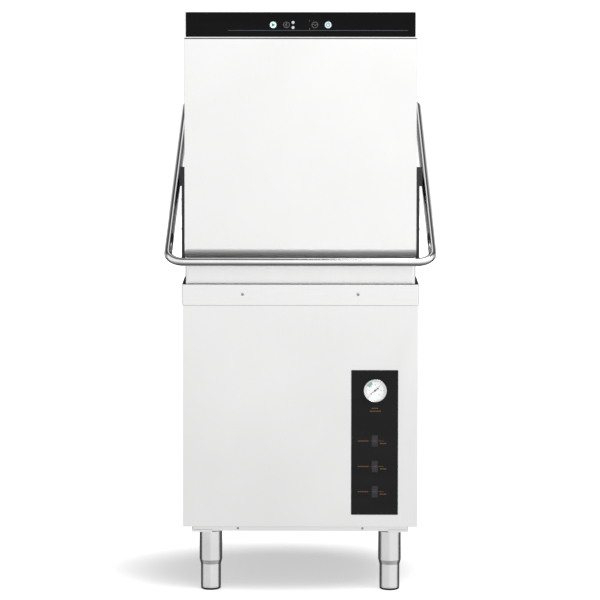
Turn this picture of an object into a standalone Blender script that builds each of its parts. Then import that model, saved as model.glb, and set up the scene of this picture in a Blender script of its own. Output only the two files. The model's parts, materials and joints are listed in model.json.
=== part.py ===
"""A pass-through commercial dishwasher: a cabinet on four legs, and a hood that a U-shaped handle lifts.

Metres, +Z up, front towards -Y. The origin is on the floor, at the middle of the whole machine's box.
"""

import math

import bmesh
import bpy
from mathutils import Vector

# ---- Driving dimensions ----

# Cabinet
CABINET_HALF_WIDTH = 0.3175
FRONT_Y = -0.328
BACK_Y = 0.414
FRAME_BOTTOM_Z = 0.165
FRAME_TOP_Z = 0.180
PANEL_TOP_Z = 0.780
RIM_TOP_Z = 0.836
RIM_HALF_WIDTH = 0.3205
RIM_BACK_Y = 0.345
FRAME_HALF_WIDTH = 0.294
GAP = 0.0003
SHEET = 0.0012

# Legs and feet
LEG_FRONT_X = 0.2443
LEG_REAR_X = 0.269
LEG_FRONT_Y = -0.270
LEG_REAR_Y = 0.312
LEG_RADIUS = 0.031
FOOT_RADIUS = 0.0273
FOOT_VISIBLE = 0.0705

# Hood
HOOD_HALF_WIDTH = 0.312
HOOD_FRONT_Y = -0.303
HOOD_BACK_Y = 0.335
HOOD_BOTTOM_Z = 0.825
HOOD_TOP_Z = 1.567
HOOD_PANEL_TOP_Z = 1.4963
HOOD_ROLL_Z = 0.933

# Fascia at the top of the hood
FASCIA_BOTTOM_Z = 1.4975
GLASS_HALF_WIDTH = 0.3075
GLASS_BOTTOM_Z = 1.5012
GLASS_THICKNESS = 0.004
BUTTON_Z = 1.5328
BUTTONS = (
    ("start_button", -0.0736, 0.0103),
    ("cycle_button", -0.0378, 0.00965),
    ("drain_button", 0.0383, 0.00965),
    ("power_button", 0.0738, 0.0105),
)

# Handle, and the pivot on the rear columns that it swings about
TUBE_RADIUS = 0.01075
ARM_X = 0.353
BAR_Y = -0.403
BAR_Z = 0.900
ARM_SLOPE = 0.59
BAR_CORNER = 0.045
PIVOT_Y = 0.362
PIVOT_Z = BAR_Z + (PIVOT_Y - BAR_Y) * ARM_SLOPE
PIN_RADIUS = 0.008
CRANK_LENGTH = 0.040
CRANK_X = (0.3262, 0.3345)
HANDLE_END_X = 0.3335

# Lift bracket on each side of the hood: a slotted block for the handle's roller, a tie and a strip
ROLLER_Y = -0.020
ROLLER_Z = BAR_Z + (ROLLER_Y - BAR_Y) * ARM_SLOPE
ROLLER_RADIUS = 0.011
BRACKET_INNER_X = 0.3123
BRACKET_OUTER_X = 0.341
BRACKET_Y = (-0.112, 0.006)
BRACKET_BELOW = 0.025
BRACKET_ABOVE = 0.029
SLOT_WALL = 0.007
SLOT_BELOW = 0.017
SLOT_ABOVE = 0.015
STRIP_WIDTH = 0.0098
STRIP_Y = (-0.290, -0.262)
STRIP_BOTTOM_Z = 0.885
TIE_WIDTH = 0.004
TIE_HEIGHT = 0.030
ROLLER_INNER_X = 0.3165
ROLLER_WIDTH = 0.0205
AXLE_RADIUS = 0.005

# Rear columns, with the channels that guide the hood
COLUMN_INNER_X = 0.262
COLUMN_OUTER_X = 0.306
COLUMN_FRONT_Y = 0.350
COLUMN_BACK_Y = 0.410
COLUMN_TOP_Z = 1.450
CHANNEL_WALL = 0.002
CHANNEL_LIP = 0.009

# Slide blocks on the hood, captured in the channels
BLOCK_Z = (0.870, 0.990)
BLOCK_NECK = 0.0115
BLOCK_HALF_WIDTH = 0.0180

# Counterbalance springs, outside the columns and below the cranks
SPRING_X = 0.330
SPRING_RADIUS = 0.0105
SPRING_WIRE = 0.0018
SPRING_BOTTOM_Z = 0.950
SPRING_TURNS = 10
SPRING_DROP = 0.024

# Fixed rear wall of the wash chamber
SPLASH_HALF_WIDTH = 0.300
SPLASH_Y = 0.3205
SPLASH_Z = (0.8125, 1.470)

# Wash system
WASH_Y = 0.010
ARM_LENGTH = 0.420
UPPER_ARM_Z = 1.342
LOWER_ARM_Z = 0.802
PIPE_RADIUS = 0.016
RISER_X = -0.012
RISER_Y = 0.378
UPPER_PIPE_Z = UPPER_ARM_Z + 0.045
PUMP_Y = 0.080
PUMP_Z = 0.380
MOTOR_END_X = -0.042
VOLUTE_RADIUS = 0.095

# Tank. Its mouth reaches out to the rim, above a sloping shelf.
MOUTH_HALF_WIDTH = 0.3145
MOUTH_Y = (-0.3225, 0.339)
MOUTH_Z = (0.798, 0.810)
TANK_HALF_WIDTH = 0.272
TANK_FRONT_Y = -0.285
TANK_REAR_Y = 0.290
TANK_TOP_Z = 0.790
TANK_BOTTOM_Z = 0.640
TANK_SLOPE = 0.022
STRAINER_Z = (0.772, 0.786)
BASKET_Z = (0.690, 0.7755)
OVERFLOW_TOP_Z = 0.765
BASKET_PLACE = (-0.175, -0.160)
BASKET_RADIUS = 0.045
OVERFLOW_PLACE = (0.180, -0.190)
OVERFLOW_RADIUS = 0.019

# Rack track, and the opening inside its ledge
TRACK_HALF_WIDTH = 0.296
TRACK_Y = (-0.294, 0.312)
TRACK_Z = (0.7985, 0.843)
LEDGE_HALF_WIDTH = 0.235
LEDGE_Y = (-0.225, 0.245)

# Gauge panel on the cabinet's front
GAUGE_PANEL_X = (0.1375, 0.2641)
GAUGE_PANEL_Z = (0.2136, 0.6055)
GAUGE_PANEL_FACE_Y = FRONT_Y - 0.0023
GAUGE_X = 0.2018
GAUGE_Z = 0.551
GAUGE_RADIUS = 0.0315
GAUGE_BODY_RADIUS = 0.0265
NEEDLE_ANGLE = math.radians(218)
SWITCH_X = 0.2013
SWITCH_Z = (0.4140, 0.3450, 0.2766)
SWITCH_SIZE = (0.0145, 0.0290)

# Dosing pumps behind the front panel
DOSING_X = (-0.230, -0.160, -0.090)
DOSING_Z = 0.310

# The three ways that a flat outline stands: lying, facing the front, and facing the side
LYING = (0, 0, 0)
FACING_FRONT = (math.pi / 2, 0, 0)
FACING_SIDE = (math.pi / 2, 0, math.pi / 2)
EXTRUDE_AXIS = {LYING: 2, FACING_FRONT: 1, FACING_SIDE: 0}

SIDES = (("left", -1), ("right", 1))


# ---- Scene, collections and materials ----


def clear_scene():
    for thing in list(bpy.data.objects):
        bpy.data.objects.remove(thing)


def new_collection(name):
    collection = bpy.data.collections.new(name)
    bpy.context.scene.collection.children.link(collection)
    return collection


def paint(name, colour, roughness, metallic=0.0):
    """A plain Principled material."""
    material = bpy.data.materials.new(name)
    material.use_nodes = True
    shader = material.node_tree.nodes["Principled BSDF"]
    shader.inputs["Base Color"].default_value = (*colour, 1.0)
    shader.inputs["Roughness"].default_value = roughness
    shader.inputs["Metallic"].default_value = metallic
    return material


# ---- Outlines ----


def arc(centre, radius, start, end, count):
    """Points along an arc, its two ends included. Angles are in degrees."""
    points = []
    for step in range(count + 1):
        angle = math.radians(start + (end - start) * step / count)
        x = centre[0] + radius * math.cos(angle)
        y = centre[1] + radius * math.sin(angle)
        points.append((x, y))
    return points


def circle(centre, radius, count=24):
    return arc(centre, radius, 0, 360, count)[:-1]


def rounded_rectangle(low, high, radius, count=3):
    """A rectangle between two corners, counterclockwise, with round corners."""
    corners = (
        (high[0] - radius, low[1] + radius, 270),
        (high[0] - radius, high[1] - radius, 0),
        (low[0] + radius, high[1] - radius, 90),
        (low[0] + radius, low[1] + radius, 180),
    )
    points = []
    for x, y, start in corners:
        points += arc((x, y), radius, start, start + 90, count)
    return points


def at_height(outline, z):
    return [(x, y, z) for x, y in outline]


def flipped(outline, side):
    """The outline as drawn for the right side, or its mirror image for the left."""
    if side > 0:
        return outline
    return [(-x, y) for x, y in reversed(outline)]


def span(side, inner, outer):
    """A range of X on one side of the machine, lowest first."""
    return sorted((side * inner, side * outer))


# ---- Solids ----


def add(name, data, material):
    piece = bpy.data.objects.new(name, data)
    data.materials.append(material)
    PARTS.objects.link(piece)
    return piece


def add_mesh(name, bm, material):
    mesh = bpy.data.meshes.new(name)
    bm.to_mesh(mesh)
    bm.free()
    return add(name, mesh, material)


def round_edges(piece, width, segments=2):
    bevel = piece.modifiers.new("round_edges", "BEVEL")
    bevel.width = width
    bevel.segments = segments
    bevel.limit_method = "ANGLE"


def box(name, low, high, material, bevel=0.0, origin=None):
    """A block between two corners, with its origin at its centre or at the given place."""
    low = Vector(low)
    high = Vector(high)
    centre = (low + high) / 2
    place = centre if origin is None else Vector(origin)
    bm = bmesh.new()
    bmesh.ops.create_cube(bm, size=1.0)
    bmesh.ops.scale(bm, vec=high - low, verts=bm.verts)
    bmesh.ops.translate(bm, vec=centre - place, verts=bm.verts)
    piece = add_mesh(name, bm, material)
    piece.location = place
    if bevel:
        round_edges(piece, bevel)
    return piece


def turned(name, profile, place, axis, material, steps=24):
    """A turned piece. The profile's (radius, height) points run down its outer side.

    A profile that starts at radius 0 is open and meets the axis, and any other is a closed ring.
    """
    bm = bmesh.new()
    verts = [bm.verts.new((radius, 0, height)) for radius, height in profile]
    for first, second in zip(verts, verts[1:]):
        bm.edges.new((first, second))
    if profile[0][0] > 0:
        bm.edges.new((verts[-1], verts[0]))
    piece = add_mesh(name, bm, material)
    screw = piece.modifiers.new("turn", "SCREW")
    screw.steps = steps
    screw.render_steps = steps
    screw.use_merge_vertices = True
    screw.merge_threshold = 0.00005
    piece.location = place
    piece.rotation_euler = Vector(axis).to_track_quat("Z", "Y").to_euler()
    return piece


def disc(name, radius, place, axis, length, material, steps=24):
    """A plain round bar that starts at a place and runs along its axis."""
    profile = ((0, length), (radius, length), (radius, 0), (0, 0))
    return turned(name, profile, place, axis, material, steps)


def tube(name, points, radius, material, resolution=3):
    """A round tube or wire along a list of points, with closed ends."""
    curve = bpy.data.curves.new(name, "CURVE")
    curve.dimensions = "3D"
    curve.bevel_depth = radius
    curve.bevel_resolution = resolution
    curve.use_fill_caps = True
    spline = curve.splines.new("POLY")
    spline.points.add(len(points) - 1)
    for point, place in zip(spline.points, points):
        point.co = (*place, 1.0)
    return add(name, curve, material)


def plate(name, outlines, low, high, stance, material):
    """A flat outline, with holes if it has more than one loop, extruded from low to high."""
    curve = bpy.data.curves.new(name, "CURVE")
    curve.dimensions = "2D"
    curve.fill_mode = "BOTH"
    curve.extrude = (high - low) / 2
    for outline in outlines:
        spline = curve.splines.new("POLY")
        spline.points.add(len(outline) - 1)
        for point, (x, y) in zip(spline.points, outline):
            point.co = (x, y, 0, 1)
        spline.use_cyclic_u = True
    piece = add(name, curve, material)
    piece.rotation_euler = stance
    piece.location[EXTRUDE_AXIS[stance]] = (low + high) / 2
    return piece


def skin(name, rings, thickness, material, cyclic=True, close_first=False, close_last=False):
    """A sheet that runs from ring to ring, thickened inwards, with either end closed if asked."""
    bm = bmesh.new()
    loops = [[bm.verts.new(point) for point in ring] for ring in rings]
    count = len(loops[0])
    for upper, lower in zip(loops, loops[1:]):
        for here in range(count if cyclic else count - 1):
            there = (here + 1) % count
            bm.faces.new((upper[here], lower[here], lower[there], upper[there]))
    if close_first:
        bm.faces.new(loops[0])
    if close_last:
        bm.faces.new(reversed(loops[-1]))
    piece = add_mesh(name, bm, material)
    thicken(piece, thickness)
    return piece


def thicken(piece, thickness):
    solidify = piece.modifiers.new("thicken", "SOLIDIFY")
    solidify.thickness = thickness
    solidify.offset = -1
    solidify.use_even_offset = True


def pan(name, low, high, open_side, thickness, material):
    """A box of sheet metal with one side left open."""
    piece = box(name, low, high, material)
    bm = bmesh.new()
    bm.from_mesh(piece.data)
    gone = [face for face in bm.faces if face.normal.dot(Vector(open_side)) > 0.5]
    bmesh.ops.delete(bm, geom=gone, context="FACES_ONLY")
    bm.to_mesh(piece.data)
    bm.free()
    thicken(piece, thickness)
    return piece


def as_mesh(piece):
    """Makes a mesh of a curve, with its caps welded on, so that it can be cut or joined."""
    bpy.context.view_layer.update()
    graph = bpy.context.evaluated_depsgraph_get()
    mesh = bpy.data.meshes.new_from_object(piece.evaluated_get(graph))
    bm = bmesh.new()
    bm.from_mesh(mesh)
    bmesh.ops.remove_doubles(bm, verts=bm.verts, dist=0.00001)
    bm.to_mesh(mesh)
    bm.free()
    name = piece.name
    place = piece.matrix_world.copy()
    bpy.data.objects.remove(piece)
    solid = bpy.data.objects.new(name, mesh)
    PARTS.objects.link(solid)
    solid.matrix_world = place
    return solid


def combine(piece, other, operation):
    """Cuts the other solid out of the piece, or joins it on, and puts it with the cutters."""
    boolean = piece.modifiers.new(other.name, "BOOLEAN")
    boolean.operation = operation
    boolean.object = other
    PARTS.objects.unlink(other)
    CUTTERS.objects.link(other)
    other.hide_render = True
    other.display_type = "WIRE"


def cut(piece, *others):
    for other in others:
        combine(piece, other, "DIFFERENCE")


def join(piece, *others):
    for other in others:
        combine(piece, other, "UNION")


# ---- Cabinet ----


def make_legs():
    """Four closed tubes with a taper at the bottom, and the cups that screw in and out of them."""
    top = FRAME_BOTTOM_Z - GAP
    inside = FOOT_RADIUS + 0.0006
    leg = (
        (0, top),
        (LEG_RADIUS, top),
        (LEG_RADIUS, FOOT_VISIBLE + 0.010),
        (inside + 0.0012, FOOT_VISIBLE),
        (inside, FOOT_VISIBLE),
        (inside, top - 0.003),
        (0, top - 0.003),
    )
    foot = (
        (0, 0.006),
        (FOOT_RADIUS - 0.003, 0.006),
        (FOOT_RADIUS - 0.003, 0.118),
        (FOOT_RADIUS, 0.118),
        (FOOT_RADIUS, 0.005),
        (FOOT_RADIUS - 0.0015, 0.0015),
        (FOOT_RADIUS - 0.004, 0),
        (0, 0),
    )
    rows = (("front", LEG_FRONT_X, LEG_FRONT_Y), ("rear", LEG_REAR_X, LEG_REAR_Y))
    for row, x, y in rows:
        for word, side in SIDES:
            place = (side * x, y, 0)
            turned(f"leg_{row}_{word}", leg, place, (0, 0, 1), STEEL, steps=20)
            turned(f"foot_{row}_{word}", foot, place, (0, 0, 1), STEEL, steps=20)


def make_base_frame():
    """A tray that everything inside the cabinet stands on, and that the legs are bolted under."""
    low = (-FRAME_HALF_WIDTH, FRONT_Y + 0.020)
    high = (FRAME_HALF_WIDTH, BACK_Y - 0.001)
    outline = rounded_rectangle(low, high, 0.006)
    rings = [at_height(outline, FRAME_TOP_Z - GAP), at_height(outline, FRAME_BOTTOM_Z)]
    skin("base_frame", rings, 0.002, STEEL, close_last=True)


def make_panels():
    """The removable front panel, the side panels and the rear cover."""
    bottom = FRAME_TOP_Z
    top = PANEL_TOP_Z - GAP
    low = (-CABINET_HALF_WIDTH, FRONT_Y, bottom)
    high = (CABINET_HALF_WIDTH, FRONT_Y + 0.019, top)
    front = pan("front_panel", low, high, (0, 1, 0), SHEET, STEEL)
    margin = 0.011
    low = (GAUGE_PANEL_X[0] + margin, FRONT_Y - 0.01, GAUGE_PANEL_Z[0] + margin)
    high = (GAUGE_PANEL_X[1] - margin, FRONT_Y + 0.01, GAUGE_PANEL_Z[1] - margin)
    cut(front, box("gauge_window", low, high, STEEL))

    start = FRONT_Y + 0.0195
    end = BACK_Y - 0.0005
    outer = CABINET_HALF_WIDTH
    inner = CABINET_HALF_WIDTH - SHEET
    outline = [
        (outer - 0.015, start),
        (outer, start),
        (outer, end),
        (inner, end),
        (inner, start + SHEET),
        (outer - 0.015, start + SHEET),
    ]
    for word, side in SIDES:
        plate(f"side_panel_{word}", [flipped(outline, side)], bottom, top, LYING, STEEL)

    half = CABINET_HALF_WIDTH - SHEET - 0.0008
    low = (-half, COLUMN_BACK_Y + GAP, bottom)
    high = (half, BACK_Y, top)
    pan("rear_cover", low, high, (0, -1, 0), SHEET, STEEL)


def make_rim():
    """The rim round the tank at table height: an apron outside, and its hemmed edge inside."""
    edge = 0.0032
    low = (-RIM_HALF_WIDTH, FRONT_Y - 0.0005)
    high = (RIM_HALF_WIDTH, RIM_BACK_Y)
    outer = rounded_rectangle(low, high, 0.006)
    low = (low[0] + edge, low[1] + edge)
    high = (high[0] - edge, high[1] - edge)
    inner = rounded_rectangle(low, high, 0.006 - edge)
    rings = [
        at_height(inner, RIM_TOP_Z - 0.024),
        at_height(inner, RIM_TOP_Z),
        at_height(outer, RIM_TOP_Z),
        at_height(outer, PANEL_TOP_Z),
    ]
    skin("tank_rim", rings, SHEET, STEEL)


def make_guide_wedges():
    """Plastic wedges on the rim that steer the hood as it comes down."""
    base = RIM_TOP_Z + GAP
    outline = [
        (HOOD_HALF_WIDTH + 0.0012, base),
        (RIM_HALF_WIDTH, base),
        (HOOD_HALF_WIDTH + 0.0012, base + 0.020),
    ]
    for word, side in SIDES:
        name = f"hood_guide_{word}"
        plate(name, [flipped(outline, side)], -0.296, -0.236, FACING_FRONT, BLACK)


# ---- Gauge panel ----


def gauge_body():
    """The gauge's case: a bezel in front of the panel, a narrower body behind it, open to the front."""
    floor = 0.0040
    front = 0.0135
    radius = GAUGE_RADIUS
    profile = (
        (0, floor),
        (radius - 0.003, floor),
        (radius - 0.003, front),
        (radius - 0.001, front),
        (radius, front - 0.001),
        (radius, GAP),
        (GAUGE_BODY_RADIUS, GAP),
        (GAUGE_BODY_RADIUS, -0.030),
        (0, -0.030),
    )
    place = (GAUGE_X, GAUGE_PANEL_FACE_Y, GAUGE_Z)
    turned("gauge_case", profile, place, (0, -1, 0), STEEL, steps=32)
    place = (GAUGE_X, GAUGE_PANEL_FACE_Y - 0.0110, GAUGE_Z)
    disc("gauge_lens", radius - 0.0034, place, (0, -1, 0), 0.0016, GLASS, steps=32)


def gauge_needle():
    """A pointer on the gauge's axis, at rest on its stop."""
    tip = 0.0205
    tail = 0.0095
    half = 0.0009
    outline = [(-tail, -half), (-0.003, -half)]
    outline += arc((0, 0), 0.0030, 197, 343, 6)
    outline += [(tip, 0)]
    outline += arc((0, 0), 0.0030, 17, 163, 6)
    outline += [(-0.003, half), (-tail, half)]
    needle = plate("gauge_needle", [outline], 0, 0.0008, FACING_FRONT, BLACK)
    needle.rotation_euler = (math.pi / 2, 0, 0)
    needle.rotation_euler.rotate_axis("Z", NEEDLE_ANGLE)
    needle.location = (GAUGE_X, GAUGE_PANEL_FACE_Y - 0.0070, GAUGE_Z)


def make_gauge_panel():
    """The black panel with its gauge and the three switches that prime the dosing pumps."""
    low = (GAUGE_PANEL_X[0], GAUGE_PANEL_Z[0])
    high = (GAUGE_PANEL_X[1], GAUGE_PANEL_Z[1])
    outlines = [rounded_rectangle(low, high, 0.002)]
    outlines += [circle((GAUGE_X, GAUGE_Z), GAUGE_BODY_RADIUS + 0.0005, 32)]
    half_width = SWITCH_SIZE[0] / 2
    half_height = SWITCH_SIZE[1] / 2
    hole = 0.0006
    for z in SWITCH_Z:
        low = (SWITCH_X - half_width - hole, z - half_height - hole)
        high = (SWITCH_X + half_width + hole, z + half_height + hole)
        outlines += [rounded_rectangle(low, high, 0.001, 1)]
    face = GAUGE_PANEL_FACE_Y
    plate("gauge_panel", outlines, face, FRONT_Y - GAP, FACING_FRONT, BLACK)
    for number, z in enumerate(SWITCH_Z, 1):
        low = (SWITCH_X - half_width, face - 0.0025, z - half_height)
        high = (SWITCH_X + half_width, face + 0.0120, z + half_height)
        axis = (SWITCH_X, face + 0.001, z)
        box(f"prime_switch_{number}", low, high, BLACK, bevel=0.001, origin=axis)
    gauge_body()
    gauge_needle()


# ---- Tank, racks and strainers ----


def make_tank():
    """A deep basin that hangs inside the rim, with a sloping shelf round its mouth."""
    mouth = rounded_rectangle((-MOUTH_HALF_WIDTH, MOUTH_Y[0]), (MOUTH_HALF_WIDTH, MOUTH_Y[1]), 0.012)
    wall = rounded_rectangle((-TANK_HALF_WIDTH, TANK_FRONT_Y), (TANK_HALF_WIDTH, TANK_REAR_Y), 0.030)
    low = (-TANK_HALF_WIDTH + TANK_SLOPE, TANK_FRONT_Y + TANK_SLOPE)
    high = (TANK_HALF_WIDTH - TANK_SLOPE, TANK_REAR_Y - TANK_SLOPE)
    floor = rounded_rectangle(low, high, 0.030)
    rings = [
        at_height(mouth, MOUTH_Z[1]),
        at_height(mouth, MOUTH_Z[0]),
        at_height(wall, TANK_TOP_Z),
        at_height(wall, TANK_BOTTOM_Z + TANK_SLOPE),
        at_height(floor, TANK_BOTTOM_Z),
    ]
    tank = skin("tank_basin", rings, SHEET, STEEL, close_last=True)
    place = (0, WASH_Y, TANK_BOTTOM_Z - 0.010)
    cut(tank, disc("tank_feed_hole", PIPE_RADIUS + 0.001, place, (0, 0, 1), 0.030, STEEL))


def make_strainer_pan():
    """The tray over the tank, with holes for the basket, the overflow pipe and the wash pipe."""
    gap = SHEET + 0.0008
    low = (-TANK_HALF_WIDTH + gap, TANK_FRONT_Y + gap)
    high = (TANK_HALF_WIDTH - gap, TANK_REAR_Y - gap)
    outline = rounded_rectangle(low, high, 0.028)
    rings = [at_height(outline, STRAINER_Z[1]), at_height(outline, STRAINER_Z[0])]
    tray = skin("strainer_pan", rings, SHEET, STEEL, close_last=True)
    holes = (
        ("basket_hole", BASKET_PLACE, BASKET_RADIUS),
        ("overflow_hole", OVERFLOW_PLACE, OVERFLOW_RADIUS),
        ("feed_hole", (0, WASH_Y), PIPE_RADIUS),
    )
    for name, (x, y), radius in holes:
        place = (x, y, STRAINER_Z[0] - 0.010)
        cut(tray, disc(name, radius + 0.001, place, (0, 0, 1), 0.020, STEEL))


def make_scrap_basket():
    """A bucket that hangs in the strainer pan by its flange."""
    radius = BASKET_RADIUS
    bottom, top = BASKET_Z
    flange = 0.006
    taper = 0.005
    profile = (
        (0, bottom + SHEET),
        (radius - taper - SHEET, bottom + SHEET),
        (radius - SHEET, top),
        (radius + flange, top),
        (radius + flange, top - SHEET),
        (radius, top - SHEET),
        (radius - taper, bottom),
        (0, bottom),
    )
    turned("scrap_basket", profile, (*BASKET_PLACE, 0), (0, 0, 1), STEEL)


def make_overflow_pipe():
    """A stand pipe that stands on the tank's floor and sets the water level."""
    radius = OVERFLOW_RADIUS
    bottom = TANK_BOTTOM_Z + SHEET + GAP
    wall = 0.002
    profile = (
        (radius - wall, OVERFLOW_TOP_Z),
        (radius, OVERFLOW_TOP_Z),
        (radius, bottom),
        (radius - wall, bottom),
    )
    turned("overflow_pipe", profile, (*OVERFLOW_PLACE, 0), (0, 0, 1), STEEL, steps=20)


def make_rack_track():
    """The frame that a dish rack slides onto: a flat ledge all round, and its outer wall."""
    ledge = rounded_rectangle((-LEDGE_HALF_WIDTH, LEDGE_Y[0]), (LEDGE_HALF_WIDTH, LEDGE_Y[1]), 0.010)
    edge = rounded_rectangle((-TRACK_HALF_WIDTH, TRACK_Y[0]), (TRACK_HALF_WIDTH, TRACK_Y[1]), 0.010)
    bottom, top = TRACK_Z
    rings = [at_height(ledge, top), at_height(edge, top), at_height(edge, bottom)]
    skin("rack_track", rings, 0.0015, STEEL)


# ---- Pumps and pipes ----


def make_wash_pump():
    """A horizontal motor on a foot, the volute on its end, and the impeller inside that."""
    profile = (
        (0, 0.005),
        (0.018, 0.005),
        (0.018, 0),
        (0.080, 0),
        (0.080, -0.010),
        (0.062, -0.012),
        (0.062, -0.175),
        (0.055, -0.182),
        (0, -0.182),
    )
    place = (MOTOR_END_X, PUMP_Y, PUMP_Z)
    motor = turned("pump_motor", profile, place, (1, 0, 0), GREY)
    low = (-0.190, PUMP_Y - 0.045, FRAME_BOTTOM_Z + 0.002 + GAP)
    high = (-0.090, PUMP_Y + 0.045, PUMP_Z - 0.050)
    join(motor, box("motor_foot", low, high, GREY))

    bore = VOLUTE_RADIUS - 0.009
    profile = (
        (bore, 0),
        (VOLUTE_RADIUS, 0),
        (VOLUTE_RADIUS, -0.070),
        (0.030, -0.070),
        (0.030, -0.064),
        (bore, -0.064),
    )
    place = (MOTOR_END_X + GAP, PUMP_Y, PUMP_Z)
    turned("pump_volute", profile, place, (-1, 0, 0), STEEL, steps=32)

    profile = (
        (0, 0.040),
        (0.020, 0.040),
        (0.026, 0.030),
        (0.072, 0.026),
        (0.072, 0.008),
        (0, 0.008),
    )
    turned("pump_impeller", profile, place, (1, 0, 0), GREY)


def bend(corner, before, after, radius, count=5):
    """Points round a corner of a pipe's route, from a tangent arc in the plane of its two legs."""
    corner = Vector(corner)
    back = (Vector(before) - corner).normalized()
    ahead = (Vector(after) - corner).normalized()
    half = back.angle(ahead) / 2
    reach = radius / math.tan(half)
    centre = corner + (back + ahead).normalized() * (radius / math.sin(half))
    start = corner + back * reach - centre
    end = corner + ahead * reach - centre
    turn = start.angle(end)
    points = []
    for step in range(count + 1):
        share = step / count
        first = math.sin((1 - share) * turn) / math.sin(turn)
        second = math.sin(share * turn) / math.sin(turn)
        points.append(centre + start * first + end * second)
    return points


def route(corners, radius, count=5):
    """A pipe's centre line: straight runs between corners, with a bend at each one."""
    points = [Vector(corners[0])]
    for before, corner, after in zip(corners, corners[1:], corners[2:]):
        points += bend(corner, before, after, radius, count)
    points.append(Vector(corners[-1]))
    return points


def make_wash_pipe():
    """The pump feeds both wash arms: one branch up through the tank, one up behind the hood."""
    outlet = (RISER_X, PUMP_Y, PUMP_Z + VOLUTE_RADIUS + GAP)
    level = 0.585
    upper = [
        outlet,
        (RISER_X, PUMP_Y, level),
        (RISER_X, RISER_Y, level),
        (RISER_X, RISER_Y, UPPER_PIPE_Z),
        (0, WASH_Y, UPPER_PIPE_Z),
        (0, WASH_Y, UPPER_ARM_Z + 0.0125),
    ]
    lower = [
        (RISER_X, PUMP_Y + 0.030, level),
        (0, WASH_Y, level),
        (0, WASH_Y, LOWER_ARM_Z - 0.0115),
    ]
    pipe = as_mesh(tube("wash_pipe", route(upper, 0.030), PIPE_RADIUS, STEEL, 2))
    join(pipe, as_mesh(tube("lower_branch", route(lower, 0.030), PIPE_RADIUS - 0.001, STEEL, 2)))


def make_wash_arms():
    """Two spinning arms, each a flat bar on a round hub."""
    half = ARM_LENGTH / 2
    bar = rounded_rectangle((-half, -0.015), (half, 0.015), 0.014, 4)
    for name, z in (("upper_wash_arm", UPPER_ARM_Z), ("lower_wash_arm", LOWER_ARM_Z)):
        arm = as_mesh(plate(name, [bar], z - 0.0055, z + 0.0055, LYING, STEEL))
        arm.location = (0, WASH_Y, z)
        place = (0, WASH_Y, z - 0.011)
        join(arm, disc(f"{name}_hub", 0.024, place, (0, 0, 1), 0.0225, STEEL))


def make_dosing_pumps():
    """One block with three pockets, each with a rotor that squeezes chemical along a hose."""
    face = -0.262
    foot = FRAME_BOTTOM_Z + 0.002 + GAP
    low = (DOSING_X[0] - 0.035, face, foot)
    high = (DOSING_X[-1] + 0.035, face + 0.060, DOSING_Z + 0.040)
    block = box("dosing_pump_block", low, high, BLACK, bevel=0.002)
    for number, x in enumerate(DOSING_X, 1):
        place = (x, face - 0.001, DOSING_Z)
        cut(block, disc(f"dosing_pocket_{number}", 0.026, place, (0, 1, 0), 0.031, BLACK))
        place = (x, face + 0.002, DOSING_Z)
        rotor = disc(f"dosing_rotor_{number}", 0.011, place, (0, 1, 0), 0.026, GREY)
        for turn in range(3):
            angle = math.radians(90 + 120 * turn)
            lobe = (x + 0.014 * math.cos(angle), face + 0.004, DOSING_Z + 0.014 * math.sin(angle))
            name = f"dosing_roller_{number}_{turn}"
            join(rotor, disc(name, 0.0085, lobe, (0, 1, 0), 0.020, GREY, steps=12))


def make_control_box():
    """A sheet-metal box for the electrics, with its door side open."""
    floor = FRAME_BOTTOM_Z + 0.002 + GAP
    pan("control_box", (0.070, 0.060, floor), (0.280, 0.300, 0.480), (0, -1, 0), 0.0015, GREY)


# ---- Columns, splash panel and springs ----


def column_outline():
    """A C channel, open to the front, with two lips that hold the hood's slide block."""
    inner, outer = COLUMN_INNER_X, COLUMN_OUTER_X
    front, back = COLUMN_FRONT_Y, COLUMN_BACK_Y
    wall, lip = CHANNEL_WALL, CHANNEL_LIP
    return [
        (inner, front),
        (inner + lip, front),
        (inner + lip, front + wall),
        (inner + wall, front + wall),
        (inner + wall, back - wall),
        (outer - wall, back - wall),
        (outer - wall, front + wall),
        (outer - lip, front + wall),
        (outer - lip, front),
        (outer, front),
        (outer, back),
        (inner, back),
    ]


def make_columns():
    """The rear columns, each with the handle's pivot stub and the lower lug of its spring."""
    for word, side in SIDES:
        outline = flipped(column_outline(), side)
        name = f"column_{word}"
        column = as_mesh(plate(name, [outline], FRAME_TOP_Z, COLUMN_TOP_Z, LYING, STEEL))
        start = (side * (COLUMN_OUTER_X - 0.001), PIVOT_Y, PIVOT_Z)
        length = HANDLE_END_X - 0.0005 - (COLUMN_OUTER_X - 0.001)
        stub = disc(f"pivot_stub_{word}", PIN_RADIUS, start, (side, 0, 0), length, STEEL)
        crank = crank_tip()
        x_low, x_high = span(side, COLUMN_OUTER_X - 0.001, SPRING_X + 0.013)
        low = (x_low, crank[0] - 0.012, SPRING_BOTTOM_Z - 0.014)
        high = (x_high, crank[0] + 0.012, SPRING_BOTTOM_Z - GAP)
        lug = box(f"spring_lug_{word}", low, high, STEEL)
        join(column, stub, lug)


def make_splash_panel():
    """The fixed rear wall of the wash chamber, with a hole for the wash pipe."""
    half = SPLASH_HALF_WIDTH
    bottom, top = SPLASH_Z
    sheet = [(-half, bottom), (half, bottom), (half, top), (-half, top)]
    hole = circle((RISER_X + 0.002, UPPER_PIPE_Z), PIPE_RADIUS + 0.004)
    plate("rear_splash_panel", [sheet, hole], SPLASH_Y, SPLASH_Y + SHEET, FACING_FRONT, STEEL)


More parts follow.
